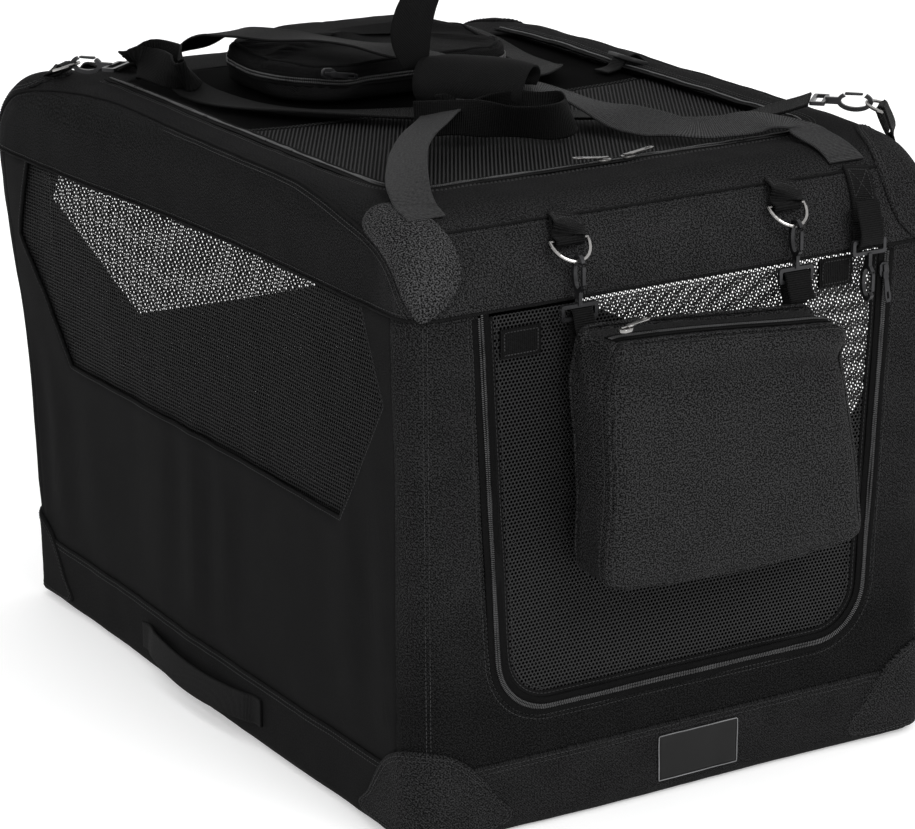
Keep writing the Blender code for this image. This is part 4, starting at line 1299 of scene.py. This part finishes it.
def make_front_handle():
    """Limp webbing: the left leg stands in an arch, the right one lies low on the roof."""
    points = LEFT_LEG + [HANDLE_MIDDLE] + RIGHT_LEG[::-1] + HANDLE_END[::-1]
    ups = []
    for x, y, _ in points:
        lean = smooth_step(-0.30, -0.24, y) * (1 - smooth_step(-0.12, -0.07, y))
        side = -0.75 * lean if x < 0 else 0.45 * lean * sin(y * 40)
        ups.append((side, -0.45 * lean, 1))
    # The lighter webbing copy is a painted highlight
    make_handle("front_handle", points, ups, painted_highlight_strapping)


def make_rear_handle():
    """A loop that lies forward over the roof pouch, towards the grip."""
    points = REAR_LEFT + [REAR_MIDDLE] + REAR_RIGHT[::-1]
    ups = [(0.16 * sin(i * 1.7), 0.1 * sin(i * 2.3), 1) for i in range(len(points))]
    make_handle("rear_handle", points, ups, strapping)


make_front_handle()
make_rear_handle()

STRAP_ROUTE = [
    (-0.2090, 0.2440, 0.5470), (-0.2000, 0.2320, 0.5520), (-0.1915, 0.2150, 0.5530),
    (-0.1860, 0.1880, 0.5470), (-0.1840, 0.1500, 0.5390), (-0.1810, 0.1120, 0.5375),
    (-0.1690, 0.0700, 0.5375), (-0.1420, 0.0300, 0.5375), (-0.1050, -0.0040, 0.5375),
    (-0.0600, -0.0360, 0.5375), (-0.0120, -0.0680, 0.5375), (0.0350, -0.1020, 0.5375),
    (0.0800, -0.1400, 0.5375), (0.1250, -0.1800, 0.5375), (0.1650, -0.2130, 0.5400),
    (0.1980, -0.2370, 0.5500), (0.2140, -0.2530, 0.5580),
]


def make_shoulder_strap():
    leans = [0.16 * sin(i * 1.1) for i in range(len(STRAP_ROUTE))]
    ups = [(0.8 * lean, 0.6 * lean, 1) for lean in leans]
    strap("shoulder_strap_webbing", STRAP_ROUTE, ups, 0.032, "roof", ("shoulder_strap",))


make_shoulder_strap()

# Spare strap that lies folded by the grip, and by the rear hook, darkened as painted shade
GRIP_SLACK = [
    (-0.108, -0.118, 0.553), (-0.075, -0.145, 0.556), (-0.040, -0.170, 0.553),
    (-0.005, -0.182, 0.551), (0.018, -0.172, 0.553), (0.008, -0.150, 0.556),
    (-0.025, -0.135, 0.556), (-0.062, -0.118, 0.555), (-0.070, -0.100, 0.552),
    (-0.045, -0.094, 0.550),
]
HOOK_SLACK = [
    (-0.2075, 0.2380, 0.5540), (-0.1990, 0.2230, 0.5600), (-0.1900, 0.2000, 0.5620),
    (-0.1850, 0.1700, 0.5600), (-0.1880, 0.1500, 0.5560), (-0.1970, 0.1480, 0.5540),
    (-0.2030, 0.1700, 0.5570), (-0.2060, 0.2000, 0.5580), (-0.2100, 0.2200, 0.5560),
]


def make_slack(name, route):
    """Webbing that stands on its edge, folded back on itself."""
    centre = sum((Vector(p) for p in route), Vector()) / len(route)
    ups = []
    for i, p in enumerate(route):
        out = (Vector(p) - centre).normalized()
        ups.append((out.x, out.y, 0.45 * sin(i * 2.1)))
    strap(name, route, ups, 0.032, "roof", material=painted_shade_strapping)


make_slack("grip_slack", GRIP_SLACK)
make_slack("hook_slack", HOOK_SLACK)


def make_strap_tab(name, bar, along, root, node):
    """Doubled webbing from the roof's corner at root, up and round the ring's bar."""
    bar, along = Vector(bar), Vector(along).normalized()
    foot, foot_up = roof_xy(*root)
    middle = foot.lerp(bar + along * 0.004, 0.5)
    points = [foot + foot_up * 0.0020, middle + along * 0.0045]
    ups = [foot_up + along * 0.3, along + UP * 0.5]
    for turn in (20, 75, 130, 185, 240):
        a = radians(turn)
        out = along * cos(a) + UP * sin(a)
        points.append(bar + out * 0.0034)
        ups.append(out)
    points.append(middle - along * 0.0010 - UP * 0.0010)
    ups.append(-along - UP * 0.5)
    points.append(foot + foot_up * 0.0004)
    ups.append(-foot_up - along * 0.3)
    strap(name, points, ups, 0.024, "roof", (node,), 0.0019)


make_strap_tab("strap_tab_rear_webbing", (-0.2473, 0.2950, 0.5422), (-0.6, 0.8, 0), (-0.252, 0.312),
               "strap_tab_rear")
make_strap_tab("strap_tab_front_webbing", (0.2591, -0.2981, 0.5532), (0.7071, -0.7071, 0),
               (0.2660, -0.3050), "strap_tab_front")


def make_side_grip(name, side, node):
    """A carry loop on the skirt, bowed out between its sewn ends."""
    points, ups = [], []
    for i in range(-9, 10):
        along = i / 8
        open_share = cos(min(1, abs(along)) * pi / 2)
        bow = 0.0035 + (GRIP_BOW * open_share ** 0.6 if abs(along) < 1 else 0)
        sag = 0.006 * open_share
        points.append((side * (HALF_W + bow), 0.104 * along, 0.036 - sag))
        ups.append((side, 0, 0.25 * cos(along * 1.4)))
    strap(name, points, ups, 0.026, "root", (node,), 0.0026)


make_side_grip("side_grip_left_webbing", -1, "side_grip_left")
make_side_grip("side_grip_right_webbing", 1, "side_grip_right")


# ---------------------------------------------------------------- stuffed pieces

def box_cells(low, high, counts, radius):
    """A closed box of square cells with round edges, and its lattice index."""
    low, high = Vector(low), Vector(high)
    index, verts, faces = {}, [], []

    def vert(key):
        if key not in index:
            share = Vector((key[0] / counts[0], key[1] / counts[1], key[2] / counts[2]))
            q = Vector([low[a] + (high[a] - low[a]) * share[a] for a in range(3)])
            inner = Vector([min(max(q[a], low[a] + radius), high[a] - radius) for a in range(3)])
            out = q - inner
            if out.length > 1e-9:
                q = inner + out.normalized() * radius
            index[key] = len(verts)
            verts.append(q)
        return index[key]

    for axis in range(3):
        a, b = [k for k in range(3) if k != axis]
        for level in (0, counts[axis]):
            for i in range(counts[a]):
                for j in range(counts[b]):
                    corner = []
                    for di, dj in ((0, 0), (1, 0), (1, 1), (0, 1)):
                        key = [0, 0, 0]
                        key[axis], key[a], key[b] = level, i + di, j + dj
                        corner.append(vert(tuple(key)))
                    faces.append(tuple(corner))
    return verts, faces, index


def inflate(obj, pressure, cap, pinned, gravity=0.0, frames=18):
    """Blows the mesh up as cloth, and lets no point move further than cap."""
    stiffness = 12.0
    before = [v.co.copy() for v in obj.data.vertices]
    obj.vertex_groups.new(name="pin").add(list(pinned), 1.0, "REPLACE")
    settings = obj.modifiers.new("sim", "CLOTH").settings
    settings.quality = 6
    settings.mass = 0.25
    settings.tension_stiffness = stiffness
    settings.compression_stiffness = stiffness
    settings.shear_stiffness = stiffness * 0.5
    settings.bending_stiffness = 0.6
    settings.use_pressure = True
    settings.uniform_pressure_force = pressure
    settings.effector_weights.gravity = gravity
    settings.vertex_group_mass = "pin"
    scene = bpy.context.scene
    for number in range(1, frames + 1):
        scene.frame_set(number)
    evaluated = obj.evaluated_get(bpy.context.evaluated_depsgraph_get())
    after = [v.co.copy() for v in evaluated.to_mesh().vertices]
    evaluated.to_mesh_clear()
    obj.modifiers.clear()
    obj.vertex_groups.clear()
    for v, old, new in zip(obj.data.vertices, before, after):
        move = new - old
        if move.length > cap:
            move *= cap / move.length
        v.co = old + move
    scene.frame_set(1)


def set_box_uv(obj):
    """UVs in metres from each face's own direction."""
    layer = obj.data.uv_layers.new(name="UVMap")
    for face in obj.data.polygons:
        n = face.normal
        axis = max(range(3), key=lambda k: abs(n[k]))
        a, b = [(1, 2), (0, 2), (0, 1)][axis]
        for index in face.loop_indices:
            co = obj.data.vertices[obj.data.loops[index].vertex_index].co
            layer.data[index].uv = (co[a], co[b])


def loop_frames(obj, ids, lift, closed=False, step=None):
    """Frames along a run of the mesh's own points, lifted off its surface and smoothed twice."""
    ups = [obj.data.vertices[i].normal.copy() for i in ids]
    points = [obj.data.vertices[i].co + up * lift for i, up in zip(ids, ups)]
    for _ in range(2):
        last = len(points) - 1
        points = [p if (not closed and k in (0, last)) else
                  (points[k - 1] + 2 * p + points[(k + 1) % len(points)]) / 4
                  for k, p in enumerate(points)]
    if step:
        count = len(points)
        even, faces = [], []
        legs = count if closed else count - 1
        total = sum((points[(k + 1) % count] - points[k]).length for k in range(legs))
        wanted = max(2, round(total / step))
        for k in range(wanted + (0 if closed else 1)):
            target = total * k / wanted
            leg = 0
            while leg < legs - 1 and target > (points[(leg + 1) % count] - points[leg]).length:
                target -= (points[(leg + 1) % count] - points[leg]).length
                leg += 1
            span = (points[(leg + 1) % count] - points[leg]).length
            share = min(1.0, target / max(span, 1e-9))
            even.append(points[leg].lerp(points[(leg + 1) % count], share))
            faces.append(ups[leg].lerp(ups[(leg + 1) % count], share).normalized())
        points, ups = even, faces
    return frames_along(points, ups, closed)


def perimeter(index, counts, level):
    """The points round the box at one depth, from its top left, down and round."""
    nx, _, nz = counts
    keys = [(0, level, k) for k in range(nz, 0, -1)]
    keys += [(i, level, 0) for i in range(nx)]
    keys += [(nx, level, k) for k in range(nz)]
    keys += [(i, level, nz) for i in range(nx, 0, -1)]
    return [index[key] for key in keys]


def closed_zip(name, obj, ids, closed, tape_share):
    """A shut zip along points of a bag: its two tapes and its coil."""
    frames = loop_frames(obj, ids, 0.0002, closed, 0.006)
    tapes = [sweep("tape", frames, [(sign * a * tape_share, b) for a, b in TAPE_LOOP], tape, closed)
             for sign in (-1, 1)]
    teeth = Bars()
    fine = loop_frames(obj, ids, 0.0002, closed, TOOTH_PITCH)
    teeth.teeth(fine, 0.0002, 0.0024)
    teeth.teeth(fine, -0.0024, -0.0002)
    return join(name + "_tape", tapes), teeth.piece(name + "_coil", coil)


def make_front_pouch():
    """The hanging pouch: a stuffed box that sags from its two hooks, rolled over at the top."""
    low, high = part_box("front_pouch")
    shrink_by = Vector((0.003, 0.004, 0.003))
    counts = (34, 10, 28)
    verts, faces, index = box_cells(low + shrink_by, high - shrink_by, counts, 0.014)
    for v in verts:
        up = (v.z - low.z) / (high.z - low.z)
        right = (v.x - low.x) / (high.x - low.x)
        front = (high.y - v.y) / (high.y - low.y)
        lean = smooth_step(0.35, 1.0, right)
        # Wider at its lower right, and hanging lower along the bottom and at the top right
        v.x += blend_of(0.0270, -0.0070, up) * right
        v.z += blend_of(-0.0170, 0.0040 - 0.0160 * right, up) - 0.0060 * sin(pi * right) * (1 - up)
        v.z -= 0.0030 * sin(pi * right) * up * lean
        # A bulging face, with a roll along its top and a crease under the roll
        v.y -= 0.0035 * sin(pi * up) * front
        roll = exp(-((up - 0.93) / 0.055) ** 2) - 0.7 * exp(-((up - 0.80) / 0.05) ** 2)
        v.y -= 0.0095 * roll * front
        # The left gusset flares at its top, and the cloth puckers
        v.x -= 0.0110 * (1 - right) ** 4 * (1 - front) * smooth_step(0.3, 0.95, up)
        v.y += 0.0030 * noise.noise(Vector((v.x * 14, 3.0, v.z * 14))) * (0.3 + 0.7 * front)
        v.x += 0.0025 * noise.noise(Vector((8.0, v.y * 30, v.z * 22)))
    obj = new_piece("front_pouch_body", verts, faces, pouch_cloth)
    outward(obj)
    top = [i for key, i in index.items() if key[2] == counts[2] and key[1] > counts[1] - 2]
    inflate(obj, 3.0, 0.0065, top, gravity=0.25)
    set_box_uv(obj)
    front_ids, back_ids = [perimeter(index, counts, level) for level in (1, counts[1] - 1)]
    piping = [sweep("piping", loop_frames(obj, ids, 0.0004, closed=True), round_loop(0.0018, 0.0018),
                    pouch_cloth, closed=True) for ids in (front_ids, back_ids)]
    zip_ids = [index[(i, 3, counts[2])] for i in range(1, counts[0])]
    threads = Bars()
    for offset in (0.006, -0.006):
        threads.stitches(loop_frames(obj, front_ids, 0.0004, closed=True, step=STITCH), offset=offset)
    for bit in (obj, join("front_pouch_piping", piping),
                *closed_zip("front_pouch", obj, zip_ids, False, 1.0),
                threads.piece("front_pouch_stitching", thread)):
        place(bit, "front_pouch", "cloth")
    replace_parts(obj, "front_pouch")


make_front_pouch()


def make_pouch_loop(name, x, width):
    """The webbing that ties the pouch to a hook's eye."""
    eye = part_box("pouch_hook_left")[0].z + 0.0102
    points = [(x, -0.3925, eye - 0.030), (x, -0.3895, eye - 0.014), (x, -0.3888, eye - 0.004),
              (x, -0.3920, eye - 0.0012), (x, -0.3952, eye - 0.004), (x, -0.3985, eye - 0.014),
              (x, -0.4030, eye - 0.024)]
    ups = [(0, 1, 0), (0, 1, 0), (0, 1, 0.5), (0, 0, 1), (0, -1, 0.5), (0, -1, 0.2), (0, -1, 0.4)]
    strap(name, points, ups, width, "front_pouch", thickness=0.0018)


make_pouch_loop("pouch_loop_left", -0.114, 0.020)
make_pouch_loop("pouch_loop_right", 0.100, 0.026)


def make_top_pouch():
    """The roof pouch: a low round-cornered bag with a zip round its side."""
    low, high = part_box("top_pouch")
    base = low.z
    cx, cy = (low.x + high.x) / 2 + 0.007, (low.y + high.y) / 2
    half_x, half_y = (high.x - low.x) / 2 - 0.011, (high.y - low.y) / 2 - 0.004
    corner = 0.060
    count = 132

    def ring(inset, z):
        hx, hy = half_x - inset, half_y - inset
        r = max(corner - inset * 0.8, 0.010)
        loop = [Vector(p) for p in round_box(hx, -hy, hy, r, 8)]
        points = resample(loop, line_length(loop + loop[:1]) / count, closed=True)
        return [Vector((cx + p.x, cy + p.y, z)) for p in points[:count]]

    height = high.z - base - 0.004
    stops = [(0.030, 0.0005), (0.004, 0.0008), (0.0005, 0.004)]
    stops += [(0.0, 0.004 + (height - 0.010) * k / 5) for k in range(1, 6)]
    stops += [(0.0015, height - 0.003), (0.005, height - 0.0008), (0.012, height), (0.022, height + 0.001),
              (0.036, height + 0.002), (0.052, height + 0.002), (0.070, height + 0.002),
              (0.088, height + 0.002)]
    verts = []
    for inset, z in stops:
        verts += ring(inset, base + z)
    faces = grid_faces(len(stops), count, wrap=True)
    faces.append(tuple(range(count))[::-1])
    faces.append(tuple(range((len(stops) - 1) * count, len(stops) * count)))
    # The top droops to the right and puckers a little
    for v in verts:
        lift = (v.z - base) / height
        v.z -= 0.005 * lift * smooth_step(-0.02, 0.15, v.x)
        v.z += 0.0028 * lift * noise.noise(Vector((v.x * 13, v.y * 13, 2.0)))
        v.x += 0.0016 * noise.noise(Vector((v.x * 20, v.y * 20, v.z * 40)))
    obj = new_piece("top_pouch_body", verts, faces, top_cloth)
    outward(obj)
    inflate(obj, 1.2, 0.006, range(count * 3), frames=14)
    set_box_uv(obj)
    zip_ids, rim_ids = [range(row * count, (row + 1) * count) for row in (5, 9)]
    piping = sweep("top_pouch_piping", loop_frames(obj, rim_ids, 0.0003, closed=True),
                   round_loop(0.0016, 0.0016), top_cloth, closed=True)
    for bit in (obj, *closed_zip("top_pouch", obj, zip_ids, True, 0.7), piping):
        place(bit, "roof_door", "cloth")
    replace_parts(obj, "top_pouch")


make_top_pouch()


def pad_strip(name, stations, half_widths, thickness, across_line):
    """A padded strip: it is thick in the middle and pinched at its sewn edges."""
    path = catmull(stations, 7)
    widths = [w.x for w in catmull([(w, 0.0) for w in half_widths], 7)]
    across = 14
    verts, uvs = [], []
    total = len(path)
    run = 0.0
    for i, p in enumerate(path):
        before, after = path[max(i - 1, 0)], path[min(i + 1, total - 1)]
        along = (after - before).normalized()
        normal = across_line.cross(along).normalized()
        if i:
            run += (p - path[i - 1]).length
        end = min(1.0, min(i, total - 1 - i) / 3)
        for face in (1, -1):
            for k in range(across + 1):
                share = 2 * k / across - 1
                crown = (1 - abs(share) ** 3) * (0.25 + 0.75 * sin(end * pi / 2))
                bump = 0.0010 * noise.noise(Vector((p.x + share * 0.1, p.y * 30, p.z * 30)))
                high = face * (0.0009 + crown * (thickness / 2 - 0.0009)) + bump
                verts.append(p + across_line * (share * widths[i]) + normal * high)
                uvs.append((share * widths[i], run))
    row = 2 * (across + 1)
    faces = []
    for i in range(total - 1):
        a, b = i * row, (i + 1) * row
        for k in range(across):
            faces.append((a + k, a + k + 1, b + k + 1, b + k))
            low_a, low_b = a + across + 1, b + across + 1
            faces.append((low_a + k + 1, low_a + k, low_b + k, low_b + k + 1))
        faces.append((a, b, b + across + 1, a + across + 1))
        faces.append((a + across, a + row - 1, b + row - 1, b + across))
    for a in (0, (total - 1) * row):
        for k in range(across):
            faces.append((a + k, a + k + 1, a + across + 2 + k, a + across + 1 + k))
    obj = new_piece(name, verts, faces, twill, uvs)
    outward(obj)
    return obj


GRIP_CENTRE = Vector((-0.024, -0.085, 0.0))
GRIP_LINE = Vector((0.62, -0.78, 0)).normalized()
GRIP_ARCH = [(0.026, 0.566), (0.025, 0.577), (0.013, 0.5855), (-0.004, 0.5875), (-0.018, 0.5820),
             (-0.0265, 0.5710), (-0.0265, 0.5600), (-0.018, 0.5520)]
FLAP_ROUTE = [(-0.058, -0.035, 0.577), (-0.061, -0.034, 0.594), (-0.061, -0.033, 0.610),
              (-0.056, -0.032, 0.628), (-0.048, -0.031, 0.643)]
FLAP_LINE = Vector((0.857, -0.515, 0))


def make_grip():
    """The padded hand wrap, arched over the webbing, and its fastening tongue, standing up."""
    across = Vector((-GRIP_LINE.y, GRIP_LINE.x, 0))
    stations = [GRIP_CENTRE + across * b + UP * z for b, z in GRIP_ARCH]
    wrap = pad_strip("handle_wrap", stations, [0.046, 0.050, 0.051, 0.052, 0.052, 0.051, 0.049, 0.045],
                     0.011, GRIP_LINE)
    tongue = pad_strip("handle_tongue", [Vector(p) for p in FLAP_ROUTE],
                       [0.011, 0.016, 0.018, 0.018, 0.017], 0.004, FLAP_LINE)
    place(wrap, "front_handle", "cloth")
    place(tongue, "front_handle", "cloth")
    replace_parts(wrap, "handle_grip")


make_grip()


# ---------------------------------------------------------------- small hardware

def turned_outline(points, depth, frame_matrix, material, name, hole=None):
    """A flat outline with round edges, given depth. hole is a smaller outline inside it."""
    curve = bpy.data.curves.new(name, "CURVE")
    curve.dimensions = "2D"
    curve.fill_mode = "BOTH"
    curve.extrude = depth * 0.32
    curve.bevel_depth = depth * 0.18
    curve.bevel_resolution = 2
    for loop in filter(None, (points, hole)):
        spline = curve.splines.new("POLY")
        spline.points.add(len(loop) - 1)
        spline.use_cyclic_u = True
        for item, (u, v) in zip(spline.points, loop):
            item.co = (u, v, 0, 1)
    source = add_object(name, curve)
    mesh = evaluated_mesh(source)
    mesh.transform(frame_matrix)
    bpy.data.objects.remove(source)
    mesh.materials.clear()
    mesh.materials.append(material)
    obj = add_object(name, mesh)
    outward(obj, weld=1e-5)
    return obj


def flat_frame(place_at, along, normal):
    """A matrix whose X runs along and whose Z looks out."""
    z = Vector(normal).normalized()
    x = (Vector(along) - z * Vector(along).dot(z)).normalized()
    turn = Matrix((x, z.cross(x), z)).transposed().to_4x4()
    return Matrix.Translation(place_at) @ turn


def make_slider(name, place_at, along, normal, node, material=nickel):
    """A zip slider with its bridge and a pierced pull tab."""
    where = flat_frame(place_at, along, normal)
    body = [(-0.0058, 0.0018), (-0.004, 0.0040), (0.003, 0.0046), (0.0058, 0.0034)]
    body += [(x, -y) for x, y in body[::-1]]
    parts = [turned_outline(body, 0.0030, where @ Matrix.Translation((0, 0, 0.0002)), material, "body")]
    bridge = rectangle(-0.0042, 0.0042, 0.0012, -0.0012)
    parts.append(turned_outline(bridge, 0.0012, where @ Matrix.Translation((0, 0, 0.0028)), material, "b"))
    tab = [(0.0020, 0.0020), (0.0070, 0.0026), (0.0080, 0.0019), (0.0250, 0.0028), (0.0288, 0.0018)]
    tab += [(x, -y) for x, y in tab[::-1]]
    slot_hole = rectangle(0.0195, 0.0262, 0.0013, -0.0013)
    tilt = Matrix.Translation((0, 0, 0.0026)) @ Matrix.Rotation(radians(-4), 4, "Y")
    parts.append(turned_outline(tab, 0.0013, where @ tilt, material, "tab", slot_hole))
    obj = join(name, parts)
    place(obj, node, "nickel")
    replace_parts(obj, node)


front_zip_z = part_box("pouch_slider")[0].z
make_slider("door_slider_metal", (0.1995, -HALF_L - 0.0018, 0.436), (0.10, 0, -1), (0, -1, 0),
            "door_slider", hook_metal)
make_slider("pouch_slider_metal", (-0.104, -0.4415, front_zip_z + 0.0018), (1, 0.25, 0), (0, 0, 1),
            "pouch_slider")
make_slider("roof_slider_left_metal", (-0.012, ROOF_DOOR_FRONT, HEIGHT + 0.0018), (-1, 0.15, 0), UP,
            "roof_slider_left", dark_nickel)
make_slider("roof_slider_right_metal", (0.012, ROOF_DOOR_FRONT, HEIGHT + 0.0018), (1, 0.15, 0), UP,
            "roof_slider_right", dark_nickel)
make_slider("top_pouch_slider_metal", (-0.100, 0.0500, 0.563), (1, 0, -0.2), (0, -1, 0),
            "top_pouch_slider", hook_metal)


def make_keeper(name, x0, x1, z0, z1):
    """A short flat pocket of webbing at the door's top corner, for the rolled door."""
    middle = (z0 + z1) / 2
    run = resample([(x0, middle), (x1, middle)], 0.004)
    frames = lifted(frames_on(door_surface, run), 0.0022)
    obj = sweep(name, frames, webbing_loop(z1 - z0, 0.0024), strapping)
    place(obj, "front_door", "webbing", folds=True)
    inset = 0.003
    rim = resample(rectangle(x0 + inset, x1 - inset, z0 + inset, z1 - inset), 0.0030, closed=True)
    door_threads.stitches(frames_on(door_surface, rim, closed=True), lift=0.0038, radius=0.0006)


make_keeper("keeper_left", -0.184, -0.146, 0.415, 0.440)
make_keeper("keeper_right", 0.132, 0.166, 0.428, 0.4535)


def make_buckle_tab():
    """The ladder-lock and webbing that hold the rolled roof door, at the roof's right edge."""
    x, y = 0.222, 0.045
    frame_loop = rectangle(-0.018, 0.018, -0.011, 0.011)
    slot_hole = rectangle(-0.0135, 0.0135, -0.007, 0.007)
    bar = rectangle(-0.0016, 0.0016, -0.0105, 0.0105)
    where = flat_frame((x, y, HEIGHT + 0.009), (0.1, 1, 0), (0.35, 0, 1))
    parts = [turned_outline(frame_loop, 0.0042, where, moulded, "buckle", slot_hole),
             turned_outline(bar, 0.0050, where, moulded, "bar")]
    place(join("roof_buckle", parts), "roof", "plastic")
    route = [(-0.034, -0.006, 0.0012), (-0.018, -0.003, 0.0030), (-0.006, -0.001, 0.0120),
             (0.003, 0, 0.0140), (0.012, 0, 0.0075), (0.020, 0, -0.0005)]
    points = [(x + dx, y + dy, HEIGHT + dz) for dx, dy, dz in route]
    ups = [(0, 0, 1), (-0.3, 0, 1), (-0.4, 0, 1), (0.3, 0, 1), (0.6, 0, 1), (0.7, 0, 1)]
    strap("roof_buckle_webbing", points, ups, 0.020, "roof", thickness=0.0018)


make_buckle_tab()

for bars, name, body, folds in (
    (wall_threads, "wall_stitching", "root", True), (base_threads, "base_stitching", "root", False),
    (roof_threads, "roof_stitching", "roof", False), (lid_threads, "lid_stitching", "roof_door", False),
    (door_threads, "door_stitching", "front_door", True),
):
    place(bars.piece(name, thread), body, "cloth", folds)


# ---------------------------------------------------------------- camera, light and floor

CAMERA_PLACE = Vector((-1.6067, -2.6854, 1.2157))
YAW, PITCH, ROLL = 0.5404, 0.3030, -0.0061


def make_camera():
    """The camera, turned by yaw and pitch and then rolled about its own view."""
    data = bpy.data.cameras.new("camera")
    data.sensor_width = 36.0
    data.lens = 138.47
    data.clip_start, data.clip_end = 0.05, 60.0
    camera = add_object("camera", data)
    forward = Vector((sin(YAW) * cos(PITCH), cos(YAW) * cos(PITCH), -sin(PITCH)))
    right = Vector((cos(YAW), -sin(YAW), 0))
    up = right.cross(forward)
    x = right * cos(ROLL) + up * sin(ROLL)
    y = up * cos(ROLL) - right * sin(ROLL)
    camera.matrix_world = (
        Matrix.Translation(CAMERA_PLACE) @ Matrix((x, y, -forward)).transposed().to_4x4()
    )
    bpy.context.scene.camera = camera


def make_light(name, where, aim, size, power):
    data = bpy.data.lights.new(name, "AREA")
    data.shape = "RECTANGLE"
    data.size, data.size_y = size
    data.energy = power
    light = add_object(name, data)
    light.location = where
    light.rotation_mode = "QUATERNION"
    light.rotation_quaternion = (Vector(aim) - Vector(where)).to_track_quat("-Z", "Y")


def make_floor():
    reach = 12.0
    corners = [(x * reach, y * reach, -0.0008) for x, y in ((-1, -1), (1, -1), (1, 1), (-1, 1))]
    material, _, shader = new_material("floor", 0.9, 0.1)
    shader.inputs["Base Color"].default_value = (0.86, 0.86, 0.86, 1)
    shader.inputs["Emission Color"].default_value = (1, 1, 1, 1)
    shader.inputs["Emission Strength"].default_value = 0.35
    new_piece("floor", corners, [(0, 1, 2, 3)], material)


def make_world():
    world = bpy.data.worlds.new("studio")
    world.use_nodes = True
    world.node_tree.nodes["Background"].inputs["Color"].default_value = (1, 1, 1, 1)
    world.node_tree.nodes["Background"].inputs["Strength"].default_value = 1.0
    bpy.context.scene.world = world


make_camera()
make_floor()
make_world()
make_light("key", (0.4, -3.2, 2.6), (0, -0.3, 0.30), (1.6, 1.2), 60)
bpy.context.scene.view_settings.view_transform = "Standard"
bpy.context.scene.view_settings.look = "None"
